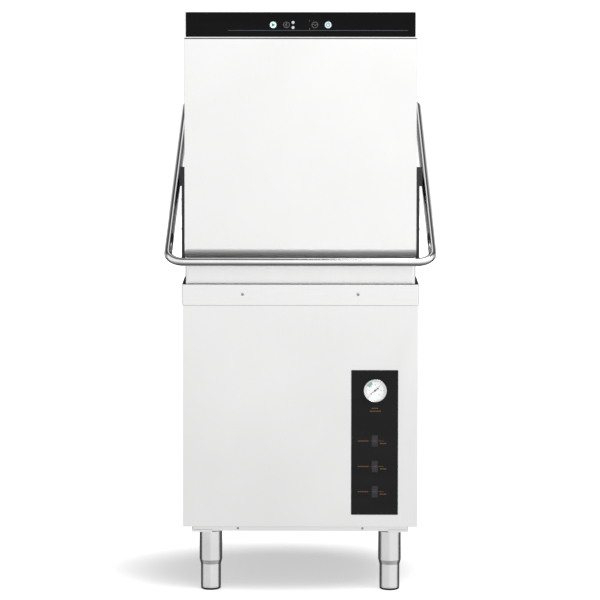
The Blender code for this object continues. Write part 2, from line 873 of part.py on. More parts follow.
def make_duct_cover():
    """The sheet between the columns that hides the wash pipe from behind."""
    half = COLUMN_INNER_X - 0.0006
    low = (-half, RISER_Y + PIPE_RADIUS + 0.003, PANEL_TOP_Z + 0.004)
    high = (half, COLUMN_BACK_Y, COLUMN_TOP_Z - 0.002)
    pan("duct_cover", low, high, (0, -1, 0), SHEET, STEEL)


def crank_tip():
    """Where the spring hooks on: behind the pivot, in line with the handle's arm. Y and Z."""
    angle = math.atan(ARM_SLOPE)
    return (PIVOT_Y + CRANK_LENGTH * math.cos(angle), PIVOT_Z + CRANK_LENGTH * math.sin(angle))


def make_springs():
    """Extension springs that pull the cranks down and so carry most of the hood's weight."""
    y, z = crank_tip()
    first = SPRING_BOTTOM_Z + SPRING_WIRE
    last = z - SPRING_DROP - SPRING_WIRE
    per_turn = 8
    steps = SPRING_TURNS * per_turn
    for word, side in SIDES:
        points = []
        for step in range(steps + 1):
            angle = 2 * math.pi * step / per_turn
            height = first + (last - first) * step / steps
            x = side * SPRING_X + SPRING_RADIUS * math.cos(angle)
            points.append((x, y + SPRING_RADIUS * math.sin(angle), height))
        tube(f"spring_{word}", points, SPRING_WIRE, STEEL, resolution=1)


# ---- Handle ----


def handle_route():
    """The handle's centre line: from one pivot, down the arm, along the bar and back up."""
    corners = [
        (-HANDLE_END_X, PIVOT_Y, PIVOT_Z),
        (-ARM_X, PIVOT_Y, PIVOT_Z),
        (-ARM_X, BAR_Y, BAR_Z),
        (ARM_X, BAR_Y, BAR_Z),
        (ARM_X, PIVOT_Y, PIVOT_Z),
        (HANDLE_END_X, PIVOT_Y, PIVOT_Z),
    ]
    points = [Vector(corners[0])]
    radii = (0.016, BAR_CORNER, BAR_CORNER, 0.016)
    for here, radius in enumerate(radii, 1):
        points += bend(corners[here], corners[here - 1], corners[here + 1], radius, 6)
    points.append(Vector(corners[-1]))
    return points


def crank_outline():
    """A link round the pivot and the spring's hook, drawn in Y and Z."""
    slope = math.degrees(math.atan(ARM_SLOPE))
    points = arc((PIVOT_Y, PIVOT_Z), 0.0155, slope + 80, slope + 280, 10)
    points += arc(crank_tip(), 0.0090, slope - 80, slope + 80, 8)
    return points


def make_handle():
    """One bent tube with a crank plate welded on at each end, and a roller on each arm."""
    handle = as_mesh(tube("handle_tube", handle_route(), TUBE_RADIUS, POLISHED, 3))
    for word, side in SIDES:
        x_low, x_high = span(side, *CRANK_X)
        hole = circle((PIVOT_Y, PIVOT_Z), PIN_RADIUS + 0.0004)
        link = plate(f"crank_{word}", [crank_outline(), hole], x_low, x_high, FACING_SIDE, STEEL)
        join(handle, as_mesh(link))

        neck = ARM_X - TUBE_RADIUS - 0.0004 - ROLLER_INNER_X
        edge = 0.001
        profile = (
            (0, neck),
            (AXLE_RADIUS, neck),
            (AXLE_RADIUS, ROLLER_WIDTH),
            (ROLLER_RADIUS - edge, ROLLER_WIDTH),
            (ROLLER_RADIUS, ROLLER_WIDTH - edge),
            (ROLLER_RADIUS, edge),
            (ROLLER_RADIUS - edge, 0),
            (0, 0),
        )
        place = (side * ROLLER_INNER_X, ROLLER_Y, ROLLER_Z)
        turned(f"roller_{word}", profile, place, (side, 0, 0), BLACK, steps=16)


# ---- Hood ----


def make_hood_shell():
    """The hood: front, top and two sides, with flanges turned in behind, open below and behind."""
    half = HOOD_HALF_WIDTH
    corner = 0.010
    outline = [(-COLUMN_INNER_X - 0.008, HOOD_BACK_Y), (-half, HOOD_BACK_Y)]
    outline += arc((-half + corner, HOOD_FRONT_Y + corner), corner, 180, 270, 4)
    outline += arc((half - corner, HOOD_FRONT_Y + corner), corner, 270, 360, 4)
    outline += [(half, HOOD_BACK_Y), (COLUMN_INNER_X + 0.008, HOOD_BACK_Y)]
    rings = [at_height(outline, HOOD_TOP_Z), at_height(outline, HOOD_BOTTOM_Z)]
    skin("hood_shell", rings, SHEET, STEEL, cyclic=False, close_first=True)


def make_hood_front_panel():
    """The raised outer skin on the hood's front, whose lower edge rolls back to the shell."""
    back = HOOD_FRONT_Y - 0.0004
    radius = back - FRONT_Y
    half = HOOD_HALF_WIDTH
    profile = [(back, HOOD_PANEL_TOP_Z), (FRONT_Y, HOOD_PANEL_TOP_Z)]
    profile += arc((back, HOOD_ROLL_Z), radius, 180, 270, 6)
    rings = [[(x, y, z) for y, z in profile] for x in (half, -half)]
    skin("hood_front_panel", rings, SHEET, STEEL, cyclic=False, close_first=True, close_last=True)


def make_fascia():
    """A steel tray across the top of the hood, a black glass in front of it, and its buttons."""
    back = HOOD_FRONT_Y - 0.0004
    half = HOOD_HALF_WIDTH
    low = (-half, FRONT_Y, FASCIA_BOTTOM_Z)
    tray = box("fascia_housing", low, (half, back, HOOD_TOP_Z), STEEL)
    seat = FRONT_Y + GLASS_THICKNESS + GAP
    low = (-GLASS_HALF_WIDTH - GAP, FRONT_Y - 0.01, GLASS_BOTTOM_Z - GAP)
    high = (GLASS_HALF_WIDTH + GAP, seat, HOOD_TOP_Z + 0.01)
    glass_seat = box("glass_seat", low, high, STEEL)
    low = (-GLASS_HALF_WIDTH + 0.004, FRONT_Y - 0.01, GLASS_BOTTOM_Z + 0.003)
    high = (GLASS_HALF_WIDTH - 0.004, back - 0.0015, HOOD_TOP_Z - 0.0015)
    hollow = box("fascia_hollow", low, high, STEEL)
    cut(tray, glass_seat, hollow)

    low = (-GLASS_HALF_WIDTH, GLASS_BOTTOM_Z)
    high = (GLASS_HALF_WIDTH, HOOD_TOP_Z)
    outlines = [rounded_rectangle(low, high, 0.001, 1)]
    for name, x, radius in BUTTONS:
        outlines += [circle((x, BUTTON_Z), radius + 0.0004)]
        profile = (
            (0, 0.0170),
            (radius - 0.0006, 0.0170),
            (radius, 0.0164),
            (radius, 0),
            (0, 0),
        )
        place = (x, FRONT_Y - 0.0006 + 0.0170, BUTTON_Z)
        turned(name, profile, place, (0, -1, 0), BLACK)
    plate("fascia_glass", outlines, FRONT_Y, FRONT_Y + GLASS_THICKNESS, FACING_FRONT, BLACK)


def make_lift_brackets():
    """A slotted guide on each side of the hood, tied to a strip that runs down near its front edge."""
    for word, side in SIDES:
        x_low, x_high = span(side, BRACKET_INNER_X, BRACKET_OUTER_X)
        low = (x_low, BRACKET_Y[0], ROLLER_Z - BRACKET_BELOW)
        high = (x_high, BRACKET_Y[1], ROLLER_Z + BRACKET_ABOVE)
        guide = box(f"lift_bracket_{word}", low, high, GREY, bevel=0.001)
        x_low, x_high = span(side, BRACKET_INNER_X + 0.003, BRACKET_OUTER_X + 0.010)
        low = (x_low, BRACKET_Y[0] + SLOT_WALL, ROLLER_Z - SLOT_BELOW)
        high = (x_high, BRACKET_Y[1] - SLOT_WALL, ROLLER_Z + SLOT_ABOVE)
        cut(guide, box(f"roller_slot_{word}", low, high, GREY))
        x_low, x_high = span(side, BRACKET_INNER_X, BRACKET_INNER_X + STRIP_WIDTH)
        low = (x_low, STRIP_Y[0], STRIP_BOTTOM_Z)
        high = (x_high, STRIP_Y[1], ROLLER_Z - BRACKET_BELOW + TIE_HEIGHT)
        strip = box(f"bracket_strip_{word}", low, high, GREY)
        x_low, x_high = span(side, BRACKET_INNER_X, BRACKET_INNER_X + TIE_WIDTH)
        low = (x_low, STRIP_Y[0] + 0.010, ROLLER_Z - BRACKET_BELOW + 0.002)
        high = (x_high, BRACKET_Y[0] + 0.004, ROLLER_Z - BRACKET_BELOW + TIE_HEIGHT - 0.002)
        join(guide, strip, box(f"bracket_tie_{word}", low, high, GREY))


def make_slide_blocks():
    """T-shaped plastic blocks on the hood's rear flanges, captured in the column channels."""
    inner, outer = COLUMN_INNER_X, COLUMN_OUTER_X
    middle = (inner + outer) / 2
    neck, body = BLOCK_NECK, BLOCK_HALF_WIDTH
    root = HOOD_BACK_Y + GAP
    lip = COLUMN_FRONT_Y + CHANNEL_WALL + 0.001
    end = COLUMN_BACK_Y - 0.012
    outline = [
        (middle - neck, root),
        (middle + neck, root),
        (middle + neck, lip),
        (middle + body, lip),
        (middle + body, end),
        (middle - body, end),
        (middle - body, lip),
        (middle - neck, lip),
    ]
    for word, side in SIDES:
        plate(f"slide_block_{word}", [flipped(outline, side)], *BLOCK_Z, LYING, BLACK)


# ---- The whole machine ----

clear_scene()
PARTS = new_collection("commercial_dishwasher")
CUTTERS = new_collection("cutters")
STEEL = paint("brushed_steel", (0.72, 0.72, 0.71), 0.32, 1.0)
POLISHED = paint("polished_steel", (0.78, 0.78, 0.78), 0.12, 1.0)
GREY = paint("grey_casting", (0.20, 0.20, 0.21), 0.55)
BLACK = paint("black_plastic", (0.02, 0.02, 0.022), 0.35)
GLASS = paint("gauge_glass", (0.85, 0.88, 0.88), 0.05)

make_base_frame()
make_legs()
make_panels()
make_rim()
make_guide_wedges()
make_gauge_panel()
make_tank()
make_strainer_pan()
make_scrap_basket()
make_overflow_pipe()
make_rack_track()
make_wash_pump()
make_wash_pipe()
make_wash_arms()
make_dosing_pumps()
make_control_box()
make_columns()
make_splash_panel()
make_duct_cover()
make_springs()
make_hood_shell()
make_hood_front_panel()
make_fascia()
make_lift_brackets()
make_slide_blocks()
make_handle()
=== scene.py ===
"""Looks for the commercial dishwasher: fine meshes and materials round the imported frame.

Metres, with the front towards -Y.
"""

import json
import math

import bmesh
import bpy
from mathutils import Matrix, Vector
from mathutils.bvhtree import BVHTree


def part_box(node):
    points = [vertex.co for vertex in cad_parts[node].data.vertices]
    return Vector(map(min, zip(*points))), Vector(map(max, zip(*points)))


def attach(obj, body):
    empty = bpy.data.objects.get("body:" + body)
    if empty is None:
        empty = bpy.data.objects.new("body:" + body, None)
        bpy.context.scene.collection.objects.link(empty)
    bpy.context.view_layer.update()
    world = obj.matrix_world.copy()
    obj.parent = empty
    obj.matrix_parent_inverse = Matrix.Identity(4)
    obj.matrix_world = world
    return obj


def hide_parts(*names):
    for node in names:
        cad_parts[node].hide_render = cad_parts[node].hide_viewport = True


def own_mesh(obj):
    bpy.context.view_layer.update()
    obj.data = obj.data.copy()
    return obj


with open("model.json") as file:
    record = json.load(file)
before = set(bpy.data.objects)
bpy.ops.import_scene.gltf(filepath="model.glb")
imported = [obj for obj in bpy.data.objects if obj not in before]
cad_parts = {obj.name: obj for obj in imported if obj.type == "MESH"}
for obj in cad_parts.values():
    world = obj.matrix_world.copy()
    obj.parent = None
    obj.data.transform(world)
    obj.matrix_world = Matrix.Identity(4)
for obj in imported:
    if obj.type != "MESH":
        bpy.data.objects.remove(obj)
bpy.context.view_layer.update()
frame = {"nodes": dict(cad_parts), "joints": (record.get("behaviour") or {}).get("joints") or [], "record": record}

# ---- Places read from the frame ----

SIDES = (("left", -1), ("right", 1))
RIM_LOW, RIM_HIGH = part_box("tank_rim")
SHELL_LOW, SHELL_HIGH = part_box("hood_shell")
SKIN_LOW, SKIN_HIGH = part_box("hood_front_panel")
GLASS_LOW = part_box("fascia_glass")[0]
GAUGE_LOW, GAUGE_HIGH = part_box("gauge_case")
GAUGE_CENTRE = (GAUGE_LOW + GAUGE_HIGH) / 2
BLACK_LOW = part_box("gauge_panel")[0]
HANDLE_LOW, HANDLE_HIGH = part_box("handle_tube")
BODY_OF = {}
for body_name, members in frame["record"]["behaviour"]["bodies"].items():
    for member in members:
        BODY_OF[member] = body_name

# ---- Sizes: lengths in metres, angles in degrees ----

FORWARD = (0, -1, 0)
UP = (0, 0, 1)
SHEET = 0.0012
PRINT_DEPTH = 0.0002

HOOD_CORNER = 0.010
HOOD_BACK_FLANGE = 0.042
LIT_SHARE = 0.84         # of a button's radius, as is the next
RING_SHARE = 0.73

TUBE_RADIUS = 0.01075
TUBE_BEND = 0.045
PIVOT_BEND = 0.016
BEND_STEPS = 16
TUBE_END_X = 0.3335
CRANK_X = (0.3265, 0.3342)
CRANK_LENGTH = 0.040

GAUGE_FLOOR = 0.0040
GAUGE_BODY = 0.0265
TICK_RADIUS = 0.80       # of the gauge's radius
DIAL_START = 225
TICK_STEP = 9
NUMBER_STEP = 45
NEEDLE_ANGLE = 218
NEEDLE_TAIL = 0.0095
NEEDLE_REACH = 0.0205
RULE_HEIGHT = 0.0010

APRON_SCREW = (0.1556, 0.810)        # to each side, and up
TRAY_SCREW = (0.169, 0.1725)
LEG_PLATE = 0.055
STRIP_SCREW_Y = -0.276
STRIP_SCREW_Z = (0.905, 0.985, 1.065)
LOUVRE_PITCH = 0.022
LOUVRE_HALF = 0.09
# Where the nozzles are along half an arm
NOZZLE_SHARES = (-0.92, -0.76, -0.60, -0.44, -0.28, 0.28, 0.44, 0.60, 0.76, 0.92)
HOLE_PITCH = 0.016
HOLE_RADIUS = 0.0030
LEG_BORE = 0.0277

SPRING_TURNS = 34
TURN_STEPS = 20
SPRING_WIRE = 0.0017


def joint_place(name):
    """Where a joint's axis passes, at rest."""
    return Vector(next(joint["pos_m"] for joint in frame["joints"] if joint["name"] == name))


# ---- Material nodes ----


def node(tree, kind, inputs, **settings):
    """Adds a shader node. An input is a value or another node's output socket."""
    added = tree.nodes.new("ShaderNode" + kind)
    for name, value in settings.items():
        setattr(added, name, value)
    for name, value in inputs.items():
        if isinstance(value, bpy.types.NodeSocket):
            tree.links.new(value, added.inputs[name])
        else:
            added.inputs[name].default_value = value
    return added


def new_material(name, **settings):
    """A Principled material with fixed values on the shader's own sockets."""
    material = bpy.data.materials.new(name)
    material.use_nodes = True
    shader = material.node_tree.nodes["Principled BSDF"]
    for key, value in settings.items():
        shader.inputs[key.replace("_", " ").title().replace("Ior", "IOR")].default_value = value
    return material, material.node_tree, shader


def noise(tree, scale, detail, stretch=(1, 1, 1)):
    """A noise in object coordinates, stretched by a scale along each axis."""
    place = node(tree, "TexCoord", {}).outputs["Object"]
    vector = node(tree, "Mapping", {"Vector": place, "Scale": stretch}).outputs[0]
    return node(tree, "TexNoise", {"Vector": vector, "Scale": scale, "Detail": detail}).outputs["Fac"]


def map_range(tree, value, start, end, low, high, **settings):
    inputs = {"Value": value, "From Min": start, "From Max": end, "To Min": low, "To Max": high}
    return node(tree, "MapRange", inputs, **settings).outputs["Result"]


def ramp(tree, value, low, high, low_at=0.35, high_at=0.65):
    """A value or a colour that runs from low to high as the given noise does."""
    if isinstance(low, (int, float)):
        return map_range(tree, value, low_at, high_at, low, high)
    share = map_range(tree, value, low_at, high_at, 0.0, 1.0)
    mix = node(tree, "Mix", {}, data_type="RGBA")
    tree.links.new(share, mix.inputs["Factor"])
    mix.inputs[6].default_value = (*low, 1.0)
    mix.inputs[7].default_value = (*high, 1.0)
    return mix.outputs[2]


def add_bump(tree, shader, height, strength, distance):
    bump = node(tree, "Bump", {"Height": height, "Strength": strength, "Distance": distance})
    tree.links.new(bump.outputs["Normal"], shader.inputs["Normal"])


def scaled(colour, share):
    return tuple(share * channel for channel in colour)


def brushed_steel(name, light, rough, grain, depth=0.05):
    """Satin sheet: fine scratches stretched along the grain, soft clouds of handling and polish."""
    material, tree, shader = new_material(name, metallic=1.0)
    scratches = noise(tree, 1.0, 3.0, grain)
    clouds = noise(tree, 3.5, 3.0)
    colour = ramp(tree, clouds, scaled(light, 0.94), light, 0.3, 0.7)
    tree.links.new(colour, shader.inputs["Base Color"])
    base = ramp(tree, clouds, rough - 0.03, rough + 0.03, 0.3, 0.7)
    streak = ramp(tree, scratches, -0.05, 0.05, 0.3, 0.7)
    total = node(tree, "Math", {0: base, 1: streak}, operation="ADD")
    tree.links.new(total.outputs[0], shader.inputs["Roughness"])
    add_bump(tree, shader, scratches, depth, 0.0002)
    return material


def polished_steel(name, light, rough, grain):
    """Buffed tube: nearly a mirror, with faint draw marks and a little haze."""
    material, tree, shader = new_material(name, metallic=1.0)
    haze = noise(tree, 9.0, 5.0)
    marks = noise(tree, 1.0, 2.0, grain)
    tree.links.new(ramp(tree, haze, scaled(light, 0.92), light), shader.inputs["Base Color"])
    tree.links.new(ramp(tree, haze, rough, rough * 1.7), shader.inputs["Roughness"])
    add_bump(tree, shader, marks, 0.02, 0.0001)
    return material


def moulded(name, colour, rough, specular):
    """Moulded plastic: a fine spark-eroded grain, and slight rubbed patches."""
    material, tree, shader = new_material(name, specular_ior_level=specular)
    patches = noise(tree, 14.0, 4.0)
    lighter = tuple(min(1.0, channel * 1.35 + 0.004) for channel in colour)
    tree.links.new(ramp(tree, patches, colour, lighter), shader.inputs["Base Color"])
    tree.links.new(ramp(tree, patches, rough - 0.05, rough + 0.07), shader.inputs["Roughness"])
    add_bump(tree, shader, noise(tree, 900.0, 2.0), 0.25, 0.0001)
    return material


def gloss_black(name, colour, rough, specular):
    """Back-painted panel: a deep gloss with faint wiping haze."""
    material, tree, shader = new_material(name, specular_ior_level=specular)
    wipes = noise(tree, 2.0, 4.0, (2.0, 2.0, 9.0))
    lighter = tuple(channel + 0.0015 for channel in colour)
    tree.links.new(ramp(tree, wipes, colour, lighter), shader.inputs["Base Color"])
    tree.links.new(ramp(tree, wipes, rough, rough + 0.05), shader.inputs["Roughness"])
    return material


def printed(name, colour):
    """Screen-printed ink, with the slight mottle of a printed dot."""
    material, tree, shader = new_material(name, roughness=0.45, specular_ior_level=0.3)
    mottle = noise(tree, 700.0, 2.0)
    tree.links.new(ramp(tree, mottle, scaled(colour, 0.86), colour), shader.inputs["Base Color"])
    return material


def cast_paint(name, colour):
    """Sprayed enamel on a rough casting."""
    material, tree, shader = new_material(name, specular_ior_level=0.45)
    orange_peel = noise(tree, 350.0, 3.0)
    grime = noise(tree, 22.0, 5.0)
    tree.links.new(ramp(tree, grime, scaled(colour, 0.7), colour), shader.inputs["Base Color"])
    tree.links.new(ramp(tree, grime, 0.38, 0.6), shader.inputs["Roughness"])
    add_bump(tree, shader, orange_peel, 0.3, 0.0003)
    return material


def clear_glass(name):
    """The gauge's flat lens, nearly invisible but for its shine and a breath of dust."""
    material, tree, shader = new_material(name, roughness=0.03, specular_ior_level=0.6)
    dust = noise(tree, 120.0, 4.0)
    tree.links.new(ramp(tree, dust, 0.04, 0.09), shader.inputs["Alpha"])
    tree.links.new(ramp(tree, dust, (0.86, 0.90, 0.90), (1.0, 1.0, 1.0)), shader.inputs["Base Color"])
    return material


UPRIGHT_GRAIN = (900.0, 900.0, 9.0)
LEVEL_GRAIN = (9.0, 9.0, 900.0)
STEEL = brushed_steel("steel_upright_grain", (0.90, 0.90, 0.895), 0.34, UPRIGHT_GRAIN)
RIM_STEEL = brushed_steel("steel_level_grain", (0.90, 0.90, 0.895), 0.32, LEVEL_GRAIN)
INNER_STEEL = brushed_steel("steel_inside", (0.80, 0.80, 0.79), 0.42, UPRIGHT_GRAIN, 0.1)
# Nearly black steel for the lift brackets: dark steel, darkened further with painted shade for the shaded strip
# beside the hood.
BRACKET_SHADE_STEEL = brushed_steel("steel_bracket_painted_shade", (0.060, 0.060, 0.064), 0.48, LEVEL_GRAIN, 0.1)
LEG_STEEL = polished_steel("steel_leg_tube", (0.84, 0.84, 0.84), 0.15, (60.0, 60.0, 900.0))
POLISHED = polished_steel("steel_polished_tube", (0.84, 0.84, 0.84), 0.07, (200.0, 200.0, 200.0))
SPRING_STEEL = polished_steel("steel_spring_wire", (0.50, 0.50, 0.50), 0.22, (400.0, 400.0, 400.0))
SCREW_STEEL = polished_steel("steel_screw", (0.45, 0.45, 0.45), 0.20, (500.0, 500.0, 500.0))
FASCIA_BLACK = gloss_black("black_fascia", (0.0025, 0.0025, 0.003), 0.08, 0.05)
PANEL_BLACK = gloss_black("black_gauge_panel", (0.0050, 0.0050, 0.0056), 0.22, 0.13)
GUIDE_BLACK = moulded("black_guide_plastic", (0.012, 0.012, 0.013), 0.45, 0.25)
SWITCH_GREY = moulded("dark_grey_switch", (0.019, 0.019, 0.023), 0.42, 0.22)
RUBBER = moulded("black_foot_plastic", (0.010, 0.010, 0.010), 0.6, 0.2)
NYLON = moulded("white_nylon", (0.62, 0.61, 0.57), 0.5, 0.35)
DIAL_WHITE = printed("dial_white", (0.78, 0.79, 0.79))
DIAL_BLACK = printed("dial_black", (0.02, 0.02, 0.02))
DIAL_GREEN = printed("dial_green", (0.10, 0.36, 0.20))
DIAL_GREY = printed("dial_grey", (0.35, 0.37, 0.38))
PRINT_ORANGE = printed("print_orange", (0.135, 0.060, 0.020))
PRINT_GREY = printed("print_grey", (0.085, 0.10, 0.11))
ICON_DARK = printed("icon_dark", (0.14, 0.14, 0.145))
LIT_MINT = printed("lit_mint", (0.62, 0.80, 0.72))
LIT_GREEN = printed("lit_green", (0.010, 0.20, 0.13))
LIT_WHITE = printed("lit_white", (0.46, 0.49, 0.50))
LIT_BLUE = printed("lit_pale_blue", (0.56, 0.63, 0.68))
INK_BLUE = printed("ink_blue_grey", (0.07, 0.14, 0.19))
GREY_CASTING = cast_paint("grey_casting", (0.16, 0.165, 0.17))
LENS = clear_glass("clear_lens")

# ---- Meshes ----


def arc(centre, radius, start, end, count):
    """Points along an arc, its two ends included. Angles are in degrees."""
    points = []
    for step in range(count + 1):
        angle = math.radians(start + (end - start) * step / count)
        points.append((centre[0] + radius * math.cos(angle), centre[1] + radius * math.sin(angle)))
    return points


def rounded_rectangle(low, high, radius, count=6):
    """A rectangle between two corners, counterclockwise, with round corners."""
    corners = (
        (high[0] - radius, low[1] + radius, 270),
        (high[0] - radius, high[1] - radius, 0),
        (low[0] + radius, high[1] - radius, 90),
        (low[0] + radius, low[1] + radius, 180),
    )
    points = []
    for x, y, start in corners:
        points += arc((x, y), radius, start, start + 90, count)
    return points


def finish_piece(name, bm, material, body, replaces=()):
    """Makes an object of a mesh, shades it, and lets it ride on a CAD body."""
    mesh = bpy.data.meshes.new(name)
    bm.to_mesh(mesh)
    bm.free()
    mesh.shade_smooth()
    mesh.set_sharp_from_angle(angle=math.radians(30))
    mesh.materials.append(material)
    piece = bpy.data.objects.new(name, mesh)
    bpy.context.scene.collection.objects.link(piece)
    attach(piece, body)
    if replaces:
        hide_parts(*replaces)
    return piece


def finish_flat(name, bm, material, body, replaces=()):
    """Makes an object of flat shapes, with their faces turned outwards."""
    bmesh.ops.recalc_face_normals(bm, faces=bm.faces)
    return finish_piece(name, bm, material, body, replaces)


def settle(piece, angle=32):
    """Applies the modifiers, and weights the normals so that broad flats stay flat."""
    if piece.modifiers:
        bpy.context.view_layer.update()
        graph = bpy.context.evaluated_depsgraph_get()
        piece.data = bpy.data.meshes.new_from_object(piece.evaluated_get(graph))
        piece.modifiers.clear()
    piece.data.shade_smooth()
    piece.data.set_sharp_from_angle(angle=math.radians(angle))
    weighted = piece.modifiers.new("flat_normals", "WEIGHTED_NORMAL")
    weighted.keep_sharp = True


def lathe_into(bm, profile, place, axis, steps):
    """Adds a turned solid. The profile runs down its outer side, from the axis back to the axis."""
    turned = Vector(axis).to_track_quat("Z", "Y").to_matrix().to_4x4()
    matrix = Matrix.Translation(place) @ turned
    rings = []
    for radius, height in profile:
        if radius == 0:
            rings.append([bm.verts.new(matrix @ Vector((0, 0, height)))] * steps)
            continue
        ring = []
        for step in range(steps):
            angle = 2 * math.pi * step / steps
            point = Vector((radius * math.cos(angle), radius * math.sin(angle), height))
            ring.append(bm.verts.new(matrix @ point))
        rings.append(ring)
    for upper, lower in zip(rings, rings[1:]):
        for here in range(steps):
            there = (here + 1) % steps
            corners = []
            for vert in (upper[here], lower[here], lower[there], upper[there]):
                if vert not in corners:
                    corners.append(vert)
            if len(corners) > 2:
                bm.faces.new(corners)


def lathe(name, profile, place, axis, material, body, replaces=(), steps=64):
    bm = bmesh.new()
    lathe_into(bm, profile, place, axis, steps)
    return finish_piece(name, bm, material, body, replaces)


def disc(radius, height):
    """The profile of a flat disc, for lathe."""
    return [(0, height), (radius, height), (radius, 0), (0, 0)]


def block_into(bm, low, high, round_by=0.0, segments=2):
    """Adds a box between two corners, with its edges rounded."""
    low = Vector(low)
    high = Vector(high)
    made = bmesh.ops.create_cube(bm, size=1.0)["verts"]
    bmesh.ops.scale(bm, vec=high - low, verts=made)
    bmesh.ops.translate(bm, vec=(low + high) / 2, verts=made)
    if round_by:
        edges = {edge for vert in made for edge in vert.link_edges}
        bmesh.ops.bevel(bm, geom=list(edges), offset=round_by, segments=segments, affect="EDGES")


def block(name, low, high, material, body, round_by=0.0):
    bm = bmesh.new()
    block_into(bm, low, high, round_by)
    finish_piece(name, bm, material, body)


def prism_into(bm, front, back):
    """Adds a solid between two outlines that match point for point."""
    front = [bm.verts.new(point) for point in front]
    back = [bm.verts.new(point) for point in back]
    bm.faces.new(front)
    bm.faces.new(reversed(back))
    for here in range(len(front)):
        there = (here + 1) % len(front)
        bm.faces.new((front[there], front[here], back[here], back[there]))


def flat_into(bm, outline, y_front, thickness):
    """Adds a flat shape that faces the front: an outline in X and Z, from y_front back."""
    y_back = y_front + thickness
    prism_into(bm, [(x, y_front, z) for x, z in outline], [(x, y_back, z) for x, z in outline])


def join_rows(bm, rows, closed=True):
    """Adds the faces of a ring: rows of points, each joined to the next and the last to the first."""
    steps = len(rows[0])
    for row, following in zip(rows, rows[1:] + rows[:1]):
        for here in range(steps if closed else steps - 1):
            there = (here + 1) % steps
            bm.faces.new((row[here], row[there], following[there], following[here]))


def flat(name, outlines, y_front, thickness, material, body):
    """One or more flat shapes that face the front, as one piece of print or trim."""
    bm = bmesh.new()
    for outline in outlines:
        flat_into(bm, outline, y_front, thickness)
    finish_flat(name, bm, material, body)


def skin(name, rings, edge, replaces, last=False):
    """Sheet metal of the hood, from row to row of points, its folds rounded, then thickened inwards."""
    bm = bmesh.new()
    loops = [[bm.verts.new(point) for point in ring] for ring in rings]
    for upper, lower in zip(loops, loops[1:]):
        for here in range(len(upper) - 1):
            bm.faces.new((upper[here], lower[here], lower[here + 1], upper[here + 1]))
    bm.faces.new(loops[0])
    if last:
        bm.faces.new(reversed(loops[-1]))
    piece = finish_piece(name, bm, STEEL, "hood", [replaces])
    folds = piece.modifiers.new("soft_edges", "BEVEL")
    folds.width = edge
    folds.segments = 4
    folds.limit_method = "ANGLE"
    folds.angle_limit = math.radians(50)
    sheet = piece.modifiers.new("sheet", "SOLIDIFY")
    sheet.thickness = SHEET
    sheet.offset = -1
    sheet.use_even_offset = True
    settle(piece)


def sweep_into(bm, points, radius, sides):
    """Adds a round tube along points, turned as little as possible from one to the next."""
    points = [Vector(point) for point in points]
    ahead = (points[1] - points[0]).normalized()
    across = ahead.orthogonal().normalized()
    rings = []
    for here, point in enumerate(points):
        before = points[max(here - 1, 0)]
        after = points[min(here + 1, len(points) - 1)]
        tangent = (after - before).normalized()
        across = (across - tangent * across.dot(tangent)).normalized()
        up = tangent.cross(across)
        ring = []
        for side in range(sides):
            angle = 2 * math.pi * side / sides
            offset = across * math.cos(angle) + up * math.sin(angle)
            ring.append(bm.verts.new(point + offset * radius))
        rings.append(ring)
    for first, second in zip(rings, rings[1:]):
        for here in range(sides):
            there = (here + 1) % sides
            bm.faces.new((first[here], first[there], second[there], second[here]))
    bm.faces.new(reversed(rings[0]))
    bm.faces.new(rings[-1])


def bend(corner, before, after, radius):
    """Points round a corner of a tube's route, from a tangent arc in the plane of its two legs."""
    corner = Vector(corner)
    back = (Vector(before) - corner).normalized()
    on = (Vector(after) - corner).normalized()
    half = back.angle(on) / 2
    reach = radius / math.tan(half)
    centre = corner + (back + on).normalized() * (radius / math.sin(half))
    start = corner + back * reach - centre
    end = corner + on * reach - centre
    total = start.angle(end)
    points = []
    for step in range(BEND_STEPS + 1):
        share = step / BEND_STEPS
        first = math.sin((1 - share) * total) / math.sin(total)
        second = math.sin(share * total) / math.sin(total)
        points.append(centre + start * first + end * second)
    return points


def refine(material, edge, *names):
    """Fine copies of CAD nodes: faces merged, edges rounded, normals smoothed."""
    for name in names:
        bm = bmesh.new()
        bm.from_mesh(frame["nodes"][name].data)
        bmesh.ops.remove_doubles(bm, verts=bm.verts, dist=0.000002)
        bmesh.ops.dissolve_limit(bm, angle_limit=math.radians(0.4), verts=bm.verts, edges=bm.edges)
        if edge:
            folded = math.radians(40)
            sharp = [one for one in bm.edges if one.is_manifold and one.calc_face_angle() > folded]
            bmesh.ops.bevel(bm, geom=sharp, offset=edge, segments=2, affect="EDGES", clamp_overlap=True)
        settle(finish_piece(name + "_fine", bm, material, BODY_OF[name], [name]))


def screws(name, places, axis, radius, body):
    """A row of button-head screws, each with a socket, as one piece."""
    head = ((0, 0.55), (0.30, 0.55), (0.42, 1), (0.72, 0.92), (0.95, 0.62), (1, 0.25), (1, 0), (0, 0))
    bm = bmesh.new()
    profile = [(radius * r, radius * 0.5 * h) for r, h in head]
    for place in places:
        lathe_into(bm, profile, place, axis, 32)
    finish_piece(name, bm, SCREW_STEEL, body)


# ---- Hood ----


